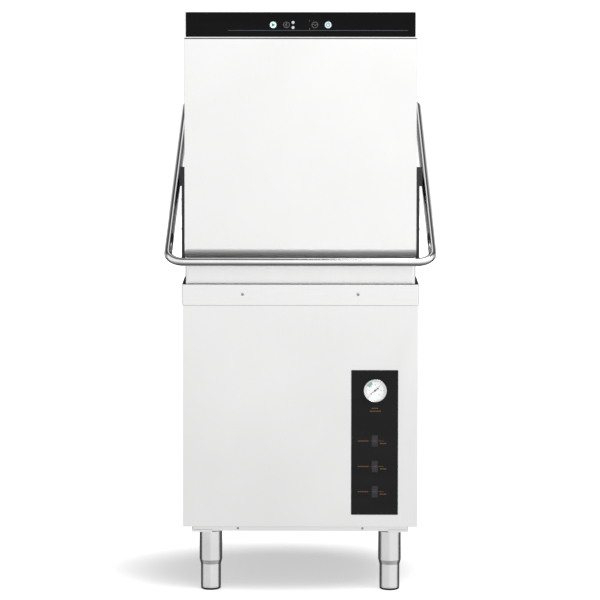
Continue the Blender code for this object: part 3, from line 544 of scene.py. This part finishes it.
def make_hood():
    """The shell, and the raised front skin with its rolled lower edge."""
    half = SHELL_HIGH.x
    front, back = SHELL_LOW.y, SHELL_HIGH.y
    corner, flange = HOOD_CORNER, HOOD_BACK_FLANGE
    outline = [(-half + flange, back)] + arc((-half + 0.002, back - 0.002), 0.002, 90, 180, 3)
    outline += arc((-half + corner, front + corner), corner, 180, 270, 12)
    outline += arc((half - corner, front + corner), corner, 270, 360, 12)
    outline += arc((half - 0.002, back - 0.002), 0.002, 0, 90, 3) + [(half - flange, back)]
    rings = [[(x, y, z) for x, y in outline] for z in (SHELL_HIGH.z, SHELL_LOW.z)]
    skin("hood_shell_sheet", rings, 0.003, "hood_shell")

    back = SKIN_HIGH.y
    radius = back - SKIN_LOW.y
    low, high = SKIN_LOW, SKIN_HIGH
    profile = [(back, high.z), (low.y, high.z), (low.y, high.z - 0.02), (low.y, low.z + radius + 0.02)]
    profile += arc((back, low.z + radius), radius, 180, 270, 28)
    rings = [[(x, y, z) for y, z in profile] for x in (high.x, low.x)]
    skin("hood_front_sheet", rings, 0.0015, "hood_front_panel", last=True)
    low = (SKIN_LOW.x + 0.004, SKIN_HIGH.y - 0.0070, SKIN_LOW.z - 0.0040)
    high = (SKIN_HIGH.x - 0.004, SKIN_HIGH.y - 0.0005, SKIN_LOW.z + 0.0010)
    block("hood_drip_strip", low, high, RUBBER, "hood", 0.0008)


# ---- Fascia ----


def annulus_into(bm, x, z, outer, inner, y_front, thickness, start, end, count=48):
    """Adds a flat ring, or part of one, that faces the front."""
    full = end - start == 360
    outside = arc((x, z), outer, start, end, count)
    inside = arc((x, z), inner, start, end, count)
    y_back = y_front + thickness
    rows = []
    for points, y in ((outside, y_front), (inside, y_front), (inside, y_back), (outside, y_back)):
        if full:
            points = points[:-1]
        rows.append([bm.verts.new((px, y, pz)) for px, pz in points])
    join_rows(bm, rows, full)
    if not full:
        bm.faces.new([row[0] for row in rows])
        bm.faces.new([row[-1] for row in reversed(rows)])


def icon(name, rings, shapes, y_front, material, body):
    """An icon printed on a button: rings as (x, z, outer, inner, start, end), and flat outlines."""
    bm = bmesh.new()
    for x, z, outer, inner, start, end in rings:
        annulus_into(bm, x, z, outer, inner, y_front, PRINT_DEPTH, start, end)
    for outline in shapes:
        flat_into(bm, outline, y_front, PRINT_DEPTH)
    finish_flat(name, bm, material, body)


def make_button(name):
    """A round cap with a soft edge and a very slight dome. Returns its centre, radius and front."""
    low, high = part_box(name)
    centre = (low + high) / 2
    radius = (high.x - low.x) / 2
    depth = high.y - low.y
    profile = [(0, depth), (radius * 0.55, depth - 0.00002), (radius - 0.0006, depth - 0.00006)]
    profile += [(radius - 0.0006 + r, depth - 0.0006 + h) for r, h in arc((0, 0), 0.00055, 70, 0, 4)]
    profile += [(radius, 0), (0, 0)]
    place = (centre.x, high.y, centre.z)
    lathe(name + "_cap", profile, place, FORWARD, FASCIA_BLACK, name, [name])
    return centre.x, centre.z, radius, low.y


def lit_disc(name, x, z, radius, front, material):
    """The lit part of a button's face."""
    place = (x, front + 0.00005, z)
    lathe(name + "_light", disc(radius, PRINT_DEPTH), place, FORWARD, material, name)


def upright_bar(x, z, half_width, low, high, radius):
    """A short upright bar of an icon, from low to high about its centre."""
    return rounded_rectangle((x - half_width, z + low), (x + half_width, z + high), radius, 2)


def make_buttons():
    """Start, cycle, drain and power: two with lit discs, and two dark ones with ringed icons."""
    x, z, radius, front = make_button("start_button")
    lit_disc("start_button", x, z, radius * LIT_SHARE, front, LIT_MINT)
    size = radius * 0.50
    triangle = [(x - size * 0.70, z + size), (x - size * 0.70, z - size), (x + size * 1.10, z)]
    icon("start_icon", [], [triangle], front - 0.0003, LIT_GREEN, "start_button")

    x, z, radius, front = make_button("cycle_button")
    rings = [(x, z, radius * LIT_SHARE, radius * RING_SHARE, 0, 360)]
    rings.append((x, z, radius * 0.38, radius * 0.29, 40, 320))
    stem = upright_bar(x, z, radius * 0.05, radius * -0.2, radius * 0.25, 0.0002)
    icon("cycle_icon", rings, [stem], front - PRINT_DEPTH, ICON_DARK, "cycle_button")

    x, z, radius, front = make_button("drain_button")
    rings = [(x, z, radius * LIT_SHARE, radius * RING_SHARE, 0, 360)]
    wave = radius * 0.22
    for step, (start, end) in enumerate(((0, 180), (180, 360), (0, 180))):
        centre = x + (step - 1) * wave * 1.75
        rings.append((centre, z, wave, wave * 0.66, start, end))
    icon("drain_icon", rings, [], front - PRINT_DEPTH, ICON_DARK, "drain_button")

    x, z, radius, front = make_button("power_button")
    lit_disc("power_button", x, z, radius * LIT_SHARE, front, LIT_BLUE)
    rings = [(x, z, radius * 0.52, radius * 0.36, 120, 420)]
    stem = upright_bar(x, z, radius * 0.09, radius * 0.1, radius * 0.62, 0.0003)
    icon("power_icon", rings, [stem], front - 0.0003, INK_BLUE, "power_button")


def make_fascia_print():
    """The dark display, two signal lamps, faint marks and the thin rule, all on the black glass."""
    front = GLASS_LOW.y - PRINT_DEPTH
    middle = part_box("cycle_button")
    z = (middle[0].z + middle[1].z) / 2
    window = rounded_rectangle((-0.0106, z - 0.0135), (0.0190, z + 0.0135), 0.0015)
    flat("display_window", [window], front, PRINT_DEPTH, FASCIA_BLACK, "hood")
    lamps = bmesh.new()
    dome = [(0, 0.0010), (0.0018, 0.0009), (0.0031, 0.0005), (0.0038, 0), (0, 0)]
    for height in (z + 0.0067, z - 0.0070):
        lathe_into(lamps, dome, (-0.0203, GLASS_LOW.y, height), FORWARD, 32)
    finish_piece("signal_lamps", lamps, LIT_WHITE, "hood")
    marks = [arc((0.0240, z + offset), 0.0011, 0, 360, 20)[:-1] for offset in (0.0110, -0.0108)]
    flat("fascia_marks", marks, front, PRINT_DEPTH, ICON_DARK, "hood")
    line = rounded_rectangle((-0.195, z - 0.0152), (0.288, z - 0.0144), 0.0003, 2)
    flat("fascia_rule", [line], front, PRINT_DEPTH, PRINT_GREY, "hood")


def make_fascia():
    """The housing, the glass and what is printed and set in it, and the dark strip under it."""
    refine(STEEL, 0.0005, "fascia_housing")
    refine(FASCIA_BLACK, 0.0004, "fascia_glass")
    make_buttons()
    make_fascia_print()
    low = (SKIN_LOW.x, SKIN_LOW.y - 0.0005, SKIN_HIGH.z - 0.0008)
    high = (SKIN_HIGH.x, SKIN_LOW.y + 0.006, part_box("fascia_housing")[0].z + 0.0001)
    block("fascia_gasket", low, high, GUIDE_BLACK, "hood")


# ---- Handle ----


def make_handle():
    """The bent tube, with a crank plate and a weld at each end."""
    pivot = joint_place("handle_swing")
    arm_x = HANDLE_HIGH.x - TUBE_RADIUS
    bar_y = HANDLE_LOW.y + TUBE_RADIUS
    bar_z = HANDLE_LOW.z + TUBE_RADIUS
    corners = [
        (-TUBE_END_X, pivot.y, pivot.z),
        (-arm_x, pivot.y, pivot.z),
        (-arm_x, bar_y, bar_z),
        (arm_x, bar_y, bar_z),
        (arm_x, pivot.y, pivot.z),
        (TUBE_END_X, pivot.y, pivot.z),
    ]
    points = [corners[0]]
    for here, size in enumerate((PIVOT_BEND, TUBE_BEND, TUBE_BEND, PIVOT_BEND), 1):
        points += bend(corners[here], corners[here - 1], corners[here + 1], size)
    points.append(corners[-1])
    bm = bmesh.new()
    sweep_into(bm, points, TUBE_RADIUS, 40)
    angle = math.atan2(pivot.z - bar_z, pivot.y - bar_y)
    slope = math.degrees(angle)
    tip = (pivot.y + CRANK_LENGTH * math.cos(angle), pivot.z + CRANK_LENGTH * math.sin(angle))
    outline = arc((pivot.y, pivot.z), 0.0155, slope + 80, slope + 280, 24)
    outline += arc(tip, 0.0090, slope - 80, slope + 80, 16)
    weld = [(0, 0.0035), (TUBE_RADIUS, 0.0030), (TUBE_RADIUS + 0.0022, 0.0006)]
    weld += [(TUBE_RADIUS + 0.0026, 0), (0, 0)]
    for _, side in SIDES:
        near, far = (side * x for x in CRANK_X)
        prism_into(bm, [(near, y, z) for y, z in outline], [(far, y, z) for y, z in outline])
        lathe_into(bm, weld, (far, pivot.y, pivot.z), (side, 0, 0), 40)
    settle(finish_flat("handle_bar", bm, POLISHED, "handle", ["handle_tube"]), 40)


def make_rollers():
    """The roller on each handle arm: a wheel with round edges on a short pin."""
    for word, side in SIDES:
        name = f"roller_{word}"
        low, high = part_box(name)
        centre = (low + high) / 2
        near = min(abs(low.x), abs(high.x))
        length = high.x - low.x
        tread = (high.z - low.z) / 2 - 0.0012
        profile = [(0, length), (0.0048, length), (0.0050, length - 0.0003), (0.0050, 0.0209)]
        profile += [(0.0075, 0.0207), (0.0075, 0.0200), (tread, 0.0200)]
        profile += [(tread + r, 0.0188 + h) for r, h in arc((0, 0), 0.0012, 90, 0, 5)]
        profile += [(tread + r, 0.0012 + h) for r, h in arc((0, 0), 0.0012, 0, -90, 5)]
        profile += [(0, 0)]
        place = (side * near, centre.y, centre.z)
        lathe(f"roller_wheel_{word}", profile, place, (side, 0, 0), GUIDE_BLACK, name,
              [name])


# ---- Gauge panel ----


def bars(x_low, x_high, z, height, letters):
    """A line of blank dashes where a word would be printed: rounded bars, never letters."""
    step = (x_high - x_low) / letters
    lines = []
    for place in range(letters):
        low = x_low + step * place
        high = low + step * 0.72
        lines.append(rounded_rectangle((low, z - height / 2), (high, z + height / 2), height * 0.2, 2))
    return lines


def make_dial_print(x, z, radius, y):
    """What is printed on the dial: ticks in a ring, a green zone, and the numbers 0 to 60."""
    ticks = bmesh.new()
    for step in range(31):
        angle = math.radians(DIAL_START - step * TICK_STEP)
        inner, width = (0.66, 0.00045) if step % 5 == 0 else (0.72, 0.00022)
        along = Vector((math.cos(angle), math.sin(angle)))
        across = Vector((-along.y, along.x)) * width
        start = Vector((x, z)) + along * (radius * inner)
        end = Vector((x, z)) + along * (radius * TICK_RADIUS)
        flat_into(ticks, [start - across, end - across, end + across, start + across], y, PRINT_DEPTH)
    annulus_into(ticks, x, z, radius * 0.815, radius * TICK_RADIUS, y, PRINT_DEPTH, -45, 225, 64)
    finish_flat("gauge_ticks", ticks, DIAL_GREY, "cabinet")

    zone = bmesh.new()
    annulus_into(zone, x, z, radius * TICK_RADIUS, radius * 0.55, y - 0.0001, PRINT_DEPTH, 112, 150, 24)
    finish_flat("gauge_green_zone", zone, DIAL_GREEN, "cabinet")

    for number in range(7):
        angle = math.radians(DIAL_START - number * NUMBER_STEP)
        text = bpy.data.curves.new(f"gauge_number_{number}", "FONT")
        text.body = str(number * 10)
        text.size = 0.0040
        text.extrude = 0.0001
        text.align_x = text.align_y = "CENTER"
        text.materials.append(DIAL_BLACK)
        label = bpy.data.objects.new(f"gauge_number_{number}", text)
        bpy.context.scene.collection.objects.link(label)
        label.rotation_euler = (math.pi / 2, 0, 0)
        spot = radius * 0.50
        label.location = (x + spot * math.cos(angle), y, z + spot * math.sin(angle))
        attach(label, "cabinet")


def make_gauge():
    """A round pressure gauge: a polished case, a white dial and a lens."""
    x, z = GAUGE_CENTRE.x, GAUGE_CENTRE.z
    face = BLACK_LOW.y
    radius = (GAUGE_HIGH.x - GAUGE_LOW.x) / 2
    dial = radius - 0.0034
    front = face - GAUGE_LOW.y
    floor = GAUGE_FLOOR
    profile = [(0, floor), (radius - 0.0030, floor), (radius - 0.0026, front - 0.0006)]
    profile += [(radius - 0.0018 + r, front - 0.0010 + h) for r, h in arc((0, 0), 0.0010, 150, 0, 10)]
    profile += [(radius, front - 0.0030), (radius, 0.0010), (radius - 0.0006, 0.0003), (GAUGE_BODY, 0.0003)]
    profile += [(GAUGE_BODY, -0.0295), (GAUGE_BODY - 0.0005, -0.0300), (0, -0.0300)]
    lathe("gauge_bezel", profile, (x, face, z), FORWARD, POLISHED, "cabinet",
          ["gauge_case"], 96)
    profile = [(0, floor + 0.0006), (dial, floor + 0.0006), (dial, floor), (0, floor)]
    lathe("gauge_dial", profile, (x, face, z), FORWARD, DIAL_WHITE, "cabinet", (), 96)
    make_dial_print(x, z, radius, face - floor - 0.0008)

    low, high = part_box("gauge_lens")
    glass = high.y - low.y
    profile = [(0, glass), (radius - 0.0040, glass), (dial, glass - 0.0005), (dial, 0), (0, 0)]
    lathe("gauge_window", profile, (x, high.y, z), FORWARD, LENS, "cabinet",
          ["gauge_lens"], 96)


def make_needle():
    """The pointer: a tapered blade with a counterweight tail and a round hub."""
    pivot = joint_place("needle_turn")
    low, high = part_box("gauge_needle")
    angle = math.radians(NEEDLE_ANGLE)
    along = Vector((math.cos(angle), math.sin(angle)))
    across = Vector((-along.y, along.x))
    centre = Vector((pivot.x, pivot.z))
    edge = ((-NEEDLE_TAIL, 0.0013), (0.0, 0.0009), (NEEDLE_REACH, 0.00025))
    shape = [(reach, -side) for reach, side in edge] + list(reversed(edge))
    bm = bmesh.new()
    flat_into(bm, [centre + along * reach + across * side for reach, side in shape], low.y + 0.0002, 0.0005)
    hub = [(0, 0.0016), (0.0018, 0.0015), (0.0026, 0.0010), (0.0028, 0), (0, 0)]
    lathe_into(bm, hub, (pivot.x, high.y, pivot.z), FORWARD, 40)
    tail = centre - along * NEEDLE_TAIL
    lathe_into(bm, disc(0.0022, 0.0006), (tail.x, high.y, tail.y), FORWARD, 32)
    finish_flat("needle_blade", bm, DIAL_BLACK, "needle", ["gauge_needle"])


def rule(x_low, x_high, z):
    """A thin printed rule."""
    return rounded_rectangle((x_low, z - RULE_HEIGHT / 2), (x_high, z + RULE_HEIGHT / 2), 0.0003, 2)


def frame_edge(low, high, outset, radius):
    """A round-cornered outline a little larger than a switch."""
    corner = (low.x - outset, low.z - outset)
    return rounded_rectangle(corner, (high.x + outset, high.z + outset), radius, 4)


def make_switches():
    """Three prime switches: a raised frame, a rocker with ribs at both ends, and printed rules."""
    face = BLACK_LOW.y
    front = face - PRINT_DEPTH
    frames = bmesh.new()
    rules = []
    words = []
    for number in (1, 2, 3):
        name = f"prime_switch_{number}"
        low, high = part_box(name)
        centre = (low + high) / 2
        x, z = centre.x, centre.z
        rocker = bmesh.new()
        block_into(rocker, (low.x, low.y + 0.0006, low.z), high, 0.0008, 3)
        for end in (-1, 1):
            for rib in range(3):
                height = z + end * (0.0055 + rib * 0.0026)
                block_into(rocker, (low.x + 0.0022, low.y + 0.0001, height - 0.0006),
                           (high.x - 0.0022, low.y + 0.0012, height + 0.0006), 0.0004, 2)
        finish_piece(f"rocker_{number}", rocker, SWITCH_GREY, name, [name])
        line = rule(low.x + 0.0012, high.x - 0.0012, z)
        flat(f"rocker_rule_{number}", [line], low.y + 0.0004, 0.0004, PRINT_ORANGE, name)
        outer = frame_edge(low, high, 0.0012, 0.0012)
        inner = frame_edge(low, high, 0.0004, 0.0008)
        rows = []
        for outline, y in ((outer, face), (outer, face - 0.0007), (inner, face - 0.0007), (inner, face)):
            rows.append([frames.verts.new((px, y, pz)) for px, pz in outline])
        join_rows(frames, rows)
        rules.append(rule(low.x - 0.0040, low.x - 0.0014, z))
        rules.append(rule(high.x + 0.0014, high.x + 0.0165, z))
        words += bars(x - 0.0455, x - 0.0160, z, 0.0024, 9 - number)
        words += bars(x + 0.0140, x + 0.0320, z - 0.0066, 0.0026, 5)
    finish_flat("switch_frames", frames, SWITCH_GREY, "cabinet")
    flat("switch_rules", rules, front, PRINT_DEPTH, PRINT_ORANGE, "cabinet")
    x = GAUGE_CENTRE.x
    words += bars(x - 0.0090, x + 0.0085, 0.5025, 0.0028, 5)
    words += bars(x - 0.0140, x + 0.0165, 0.4945, 0.0028, 8)
    flat("panel_print", words, front, PRINT_DEPTH, PRINT_ORANGE, "cabinet")


# ---- Cabinet ----


def screw_pair(name, place, y, radius):
    """Two screws that face the front, one on each side of the middle."""
    x, z = place
    screws(name, [(side * x, y, z) for _, side in SIDES], FORWARD, radius, "cabinet")


def make_cabinet():
    """The cabinet and what stands in it and behind it, with the small pieces fixed to them."""
    refine(STEEL, 0.0005, "front_panel", "side_panel_left", "side_panel_right", "rear_cover", "duct_cover")
    refine(STEEL, 0.0004, "rear_splash_panel", "column_left", "column_right", "base_frame")
    refine(RIM_STEEL, 0.0005, "tank_rim")
    refine(PANEL_BLACK, 0.0004, "gauge_panel")
    refine(GUIDE_BLACK, 0.0004, "hood_guide_left", "hood_guide_right")
    # The lift brackets are nearly black: painted shade for the shaded strip beside the hood.
    refine(BRACKET_SHADE_STEEL, 0, "lift_bracket_left", "lift_bracket_right")
    refine(NYLON, 0.0005, "slide_block_left", "slide_block_right")
    refine(GREY_CASTING, 0.0006, "pump_motor", "pump_impeller", "dosing_rotor_1", "dosing_rotor_2",
           "dosing_rotor_3", "control_box")
    refine(INNER_STEEL, 0.0004, "tank_basin", "strainer_pan", "scrap_basket", "overflow_pipe",
           "rack_track", "wash_pipe", "upper_wash_arm", "lower_wash_arm", "pump_volute")
    refine(GUIDE_BLACK, 0.001, "dosing_pump_block")
    screw_pair("apron_screws", APRON_SCREW, RIM_LOW.y, 0.0042)
    tray_low, tray_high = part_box("base_frame")
    tray = tray_low.y
    for word, side in SIDES:
        edge = side * tray_high.x
        low = (min(edge, edge - side * LEG_PLATE), tray - 0.0006, tray_low.z - 0.0030)
        high = (max(edge, edge - side * LEG_PLATE), tray + 0.050, tray_low.z + 0.0040)
        block(f"leg_plate_{word}", low, high, STEEL, "cabinet", 0.0006)
    # A black strip low in the gap between the hood and the rim: painted shade that darkens the gap line.
    low = (SHELL_LOW.x + 0.002, RIM_LOW.y + 0.0030, RIM_HIGH.z - 0.0030)
    high = (SHELL_HIGH.x - 0.002, SHELL_LOW.y - 0.0008, RIM_HIGH.z + 0.0012)
    block("rim_gap_painted_shade", low, high, RUBBER, "cabinet", 0.0006)
    make_panel_screws()
    make_louvres()
    make_nozzles()
    make_strainer_hole_shade()
    make_leg_welds()
    screw_pair("tray_screws", TRAY_SCREW, tray, 0.0032)


def make_panel_screws():
    """The screws of the side panels, the lift brackets' strips, the rear cover and the duct cover."""
    for word, side in SIDES:
        low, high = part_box(f"side_panel_{word}")
        face = side * max(abs(low.x), abs(high.x))
        places = []
        for y in (low.y + 0.030, (low.y + high.y) / 2, high.y - 0.030):
            for z in (low.z + 0.020, high.z - 0.020):
                places.append((face, y, z))
        screws(f"side_screws_{word}", places, (side, 0, 0), 0.0038, "cabinet")
        starts = [(side * 0.4, STRIP_SCREW_Y, z) for z in STRIP_SCREW_Z]
        places = surface_points(f"lift_bracket_{word}", starts, (-side, 0, 0))
        screws(f"strip_screws_{word}", places, (side, 0, 0), 0.0036, "hood")
    for name in ("rear_cover", "duct_cover"):
        low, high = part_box(name)
        places = []
        for x in (low.x + 0.016, high.x - 0.016):
            for share in (0.04, 0.5, 0.96):
                places.append((x, high.y, low.z + (high.z - low.z) * share))
        screws(f"{name}_screws", places, (0, 1, 0), 0.0038, "cabinet")


def make_leg_welds():
    """A weld bead where each leg meets the base frame."""
    beads = bmesh.new()
    for row in ("front", "rear"):
        for word, _ in SIDES:
            low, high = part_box(f"leg_{row}_{word}")
            radius = (high.x - low.x) / 2
            centre = (low + high) / 2
            profile = [(0, 0.0002), (radius + 0.0006, 0.0002), (radius + 0.0022, -0.0008)]
            profile += [(radius + 0.0024, -0.0020), (radius + 0.0004, -0.0040), (0, -0.0040)]
            lathe_into(beads, profile, (centre.x, centre.y, high.z), UP, 48)
    finish_piece("leg_welds", beads, SCREW_STEEL, "cabinet")


def make_louvres():
    """Six pressed louvres low on the rear cover: a lip over a black block, painted shade for the slot's opening.
    """
    low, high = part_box("rear_cover")
    middle = (low.x + high.x) / 2
    y = high.y
    lips = bmesh.new()
    slot_shade_blocks = bmesh.new()
    for number in range(6):
        z = low.z + 0.060 + number * LOUVRE_PITCH
        half = LOUVRE_HALF
        block_into(lips, (middle - half, y - 0.0004, z), (middle + half, y + 0.0022, z + 0.0040), 0.0008)
        # The black blocks under the lips are painted shade for the openings of the slots.
        half = LOUVRE_HALF - 0.005
        block_into(slot_shade_blocks, (middle - half, y - 0.0004, z - 0.0040), (middle + half, y + 0.0003, z - 0.0002))
    finish_piece("rear_louvre_lips", lips, STEEL, "cabinet")
    finish_piece("rear_louvre_painted_slot_shade", slot_shade_blocks, GUIDE_BLACK, "cabinet")


def surface_points(name, starts, direction):
    """Where lines from some points first meet a CAD node. Those that miss it are left out."""
    bm = bmesh.new()
    bm.from_mesh(frame["nodes"][name].data)
    tree = BVHTree.FromBMesh(bm)
    bm.free()
    places = [tree.ray_cast(Vector(start), Vector(direction))[0] for start in starts]
    return [place for place in places if place]


def make_nozzles():
    """Nozzles along both wash arms, on the side that faces the rack."""
    cone = [(0, 0.0012), (0.0018, 0.0012), (0.0022, 0.0024), (0.0044, 0.0018), (0.0052, 0), (0, 0)]
    for name, up in (("lower_wash_arm", 1), ("upper_wash_arm", -1)):
        low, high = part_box(name)
        centre = (low + high) / 2
        along = 0 if high.x - low.x > high.y - low.y else 1
        reach = (high[along] - low[along]) / 2
        starts = []
        for share in NOZZLE_SHARES:
            start = centre.copy()
            start[along] += reach * share
            start.z += up * 0.08
            starts.append(start)
        nozzles = bmesh.new()
        for place in surface_points(name, starts, (0, 0, -up)):
            lathe_into(nozzles, cone, place, (0, 0, up), 20)
        finish_piece(f"{name}_nozzles", nozzles, INNER_STEEL, BODY_OF[name])


def make_strainer_hole_shade():
    """Black discs in a grid, on the level part of the strainer pan: painted shade where its holes are."""
    low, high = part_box("strainer_pan")
    starts = []
    for column in range(int((high.x - low.x) / HOLE_PITCH)):
        x = low.x + HOLE_PITCH * (column + 0.5)
        for row in range(int((high.y - low.y) / HOLE_PITCH)):
            starts.append((x, low.y + HOLE_PITCH * (row + 0.5), high.z + 0.1))
    places = surface_points("strainer_pan", starts, (0, 0, -1))
    level = sorted(place.z for place in places)[len(places) // 2]
    hole_shade_discs = bmesh.new()
    for place in places:
        if abs(place.z - level) < 0.0005:
            # Each disc is painted shade for a hole in the pan.
            lathe_into(hole_shade_discs, disc(HOLE_RADIUS, PRINT_DEPTH), place, UP, 10)
    finish_piece("strainer_painted_hole_shade", hole_shade_discs, GUIDE_BLACK, "cabinet")


# ---- Legs and feet ----


def make_legs():
    """Stainless tubes with a swaged end, and bullet feet with a black moulded base."""
    for row in ("front", "rear"):
        for word, _ in SIDES:
            leg, foot = f"leg_{row}_{word}", f"foot_{row}_{word}"
            low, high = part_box(leg)
            place = ((low.x + high.x) / 2, (low.y + high.y) / 2, 0)
            end, top = low.z, high.z
            radius = (high.x - low.x) / 2
            profile = [(0, top), (radius - 0.0006, top), (radius, top - 0.0006), (radius, end + 0.0125)]
            profile += [(radius - 0.0004, end + 0.0108), (radius - 0.0028, end + 0.0012)]
            profile += [(radius - 0.0030, end + 0.0002), (radius - 0.0032, end)]
            profile += [(LEG_BORE, end + 0.0002), (LEG_BORE, top - 0.003), (0, top - 0.003)]
            settle(lathe(f"leg_tube_{row}_{word}", profile, place, UP, LEG_STEEL, "cabinet",
                         [leg], 72))
            low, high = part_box(foot)
            size = (high.x - low.x) / 2
            top = high.z
            profile = [(0, 0.0062), (size - 0.003, 0.0062), (size - 0.003, top), (size, top)]
            profile += [(size, 0.0090), (size - 0.0006, 0.0084), (size - 0.0006, 0.0062), (0, 0.0062)]
            settle(lathe(f"foot_tube_{row}_{word}", profile, place, UP, LEG_STEEL, foot,
                         [foot], 72))
            profile = [(0, 0.0060), (size - 0.0008, 0.0060), (size - 0.0002, 0.0056)]
            profile += [(size - 0.0001, 0.0040), (size - 0.0012, 0.0016), (size - 0.0030, 0.0003)]
            profile += [(size - 0.0040, 0.0), (0, 0)]
            lathe(f"foot_base_{row}_{word}", profile, place, UP, RUBBER, foot, (), 72)


# ---- Springs ----


def make_springs():
    """Close-wound extension springs with a straight wire at each end."""
    for word, _ in SIDES:
        low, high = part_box(f"spring_{word}")
        x, y, _ = (low + high) / 2
        coil = (high.x - low.x) / 2 - 0.0018
        steps = SPRING_TURNS * TURN_STEPS
        bottom, top = low.z + 0.016, high.z - 0.010
        points = [(x, y, low.z + 0.001), (x, y, low.z + 0.008)]
        for step in range(steps + 1):
            angle = 2 * math.pi * step / TURN_STEPS
            reach = coil * min(1.0, step / 10, (steps - step) / 10)
            height = bottom + (top - bottom) * step / steps
            points.append((x + reach * math.cos(angle), y + reach * math.sin(angle), height))
        points += [(x, y, high.z - 0.004), (x, y, high.z + 0.012)]
        bm = bmesh.new()
        sweep_into(bm, points, SPRING_WIRE, 10)
        spring = finish_piece(f"spring_coil_{word}", bm, SPRING_STEEL, "cabinet",
                              [f"spring_{word}"])
        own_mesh(spring)


# ---- Stage ----


def fade(tree, value, start, end, low=0.0, high=1.0):
    """A soft step of a value between two levels."""
    return map_range(tree, value, start, end, low, high, interpolation_type="SMOOTHSTEP")


def combine(tree, operation, first, *others):
    """Two or more values, put together one after the other by one kind of sum."""
    for other in others:
        first = node(tree, "Math", {0: first, 1: other}, operation=operation).outputs[0]
    return first


def make_studio_light():
    """A broad white front, a strip overhead, a pale horizon, and dark sides and floor for the edges."""
    world = bpy.data.worlds.new("studio")
    bpy.context.scene.world = world
    world.use_nodes = True
    tree = world.node_tree
    tree.nodes.clear()
    direction = node(tree, "TexCoord", {}).outputs["Generated"]
    parts = node(tree, "SeparateXYZ", {"Vector": direction}).outputs
    ahead = parts["Y"]
    above = parts["Z"]
    beside = combine(tree, "ABSOLUTE", parts["X"], 0.0)
    front = combine(tree, "MULTIPLY", fade(tree, ahead, 0.35, 0.0),
                    fade(tree, above, -1.1, 0.05, 0.14, 1.11), fade(tree, above, 0.92, 0.75, 0.12, 1.0))
    strip = combine(tree, "MULTIPLY", fade(tree, above, 0.78, 0.86), fade(tree, beside, 0.22, 0.10),
                    fade(tree, ahead, 0.30, 0.42))
    horizon = combine(tree, "MULTIPLY", fade(tree, above, 0.55, 0.40, 0.0, 0.5),
                      fade(tree, above, -0.13, -0.04), fade(tree, ahead, -0.05, 0.15),
                      fade(tree, beside, 0.05, 0.15))
    level = combine(tree, "MAXIMUM", front, horizon, strip, 0.09)
    level = combine(tree, "MULTIPLY", level, fade(tree, parts["X"], -0.30, 0.20, 0.94, 1.12),
                    fade(tree, above, -0.28, -0.02, 0.76, 1.0))
    studio = node(tree, "Background", {"Strength": level})
    plain = node(tree, "Background", {"Strength": 1.05})
    for background in (studio, plain):
        background.inputs["Color"].default_value = (1, 1, 1, 1)
    seen = node(tree, "LightPath", {}).outputs["Is Camera Ray"]
    mix = node(tree, "MixShader", {0: seen, 1: studio.outputs[0], 2: plain.outputs[0]})
    output = tree.nodes.new("ShaderNodeOutputWorld")
    tree.links.new(mix.outputs[0], output.inputs["Surface"])

    key = bpy.data.lights.new("key", "AREA")
    key.shape = "RECTANGLE"
    key.size = key.size_y = 2.4
    key.energy = 90
    lamp = bpy.data.objects.new("key", key)
    lamp.location = (1.6, -1.6, 3.9)
    lamp.rotation_euler = (Vector((0, 0, 0.6)) - lamp.location).to_track_quat("-Z", "Y").to_euler()
    bpy.context.scene.collection.objects.link(lamp)


def make_stage():
    """A white floor with a painted shadow under the machine, soft light from the upper right, and the camera."""
    bm = bmesh.new()
    bmesh.ops.create_grid(bm, x_segments=1, y_segments=1, size=60)
    mesh = bpy.data.meshes.new("floor")
    bm.to_mesh(mesh)
    bm.free()
    floor = bpy.data.objects.new("floor", mesh)
    bpy.context.scene.collection.objects.link(floor)
    material, tree, shader = new_material("floor_white_painted_shadow", roughness=0.9, specular_ior_level=0.0)
    for socket, value in (("Base Color", 0.50), ("Emission Color", 1.0)):
        shader.inputs[socket].default_value = (value, value, value, 1)
    # The floor's glow is dimmed in an oval under the machine: a painted shadow, added to the shadow the lamps
    # cast.
    place = node(tree, "TexCoord", {}).outputs["Object"]
    inputs = {"Vector": place, "Location": (0.05, 0.02, 0), "Scale": (0.72, 1, 1)}
    squeezed = node(tree, "Mapping", inputs).outputs[0]
    away = node(tree, "VectorMath", {0: squeezed}, operation="LENGTH").outputs["Value"]
    tree.links.new(fade(tree, away, 0.18, 0.56, 0.45, 1.2), shader.inputs["Emission Strength"])
    mesh.materials.append(material)
    floor.visible_glossy = False

    make_studio_light()

    camera = bpy.data.cameras.new("camera")
    camera.lens = 108.0
    camera.sensor_width = 36.0
    camera.shift_y = -0.0950
    view = bpy.data.objects.new("camera", camera)
    view.location = (0.026, -5.168, 1.104)
    view.rotation_euler = (math.radians(88.155), math.radians(-0.059), math.radians(0.322))
    bpy.context.scene.collection.objects.link(view)
    bpy.context.scene.camera = view
    bpy.context.scene.view_settings.view_transform = "Standard"


make_stage()
make_hood()
make_fascia()
make_handle()
make_rollers()
make_gauge()
make_needle()
make_switches()
make_cabinet()
make_legs()
make_springs()
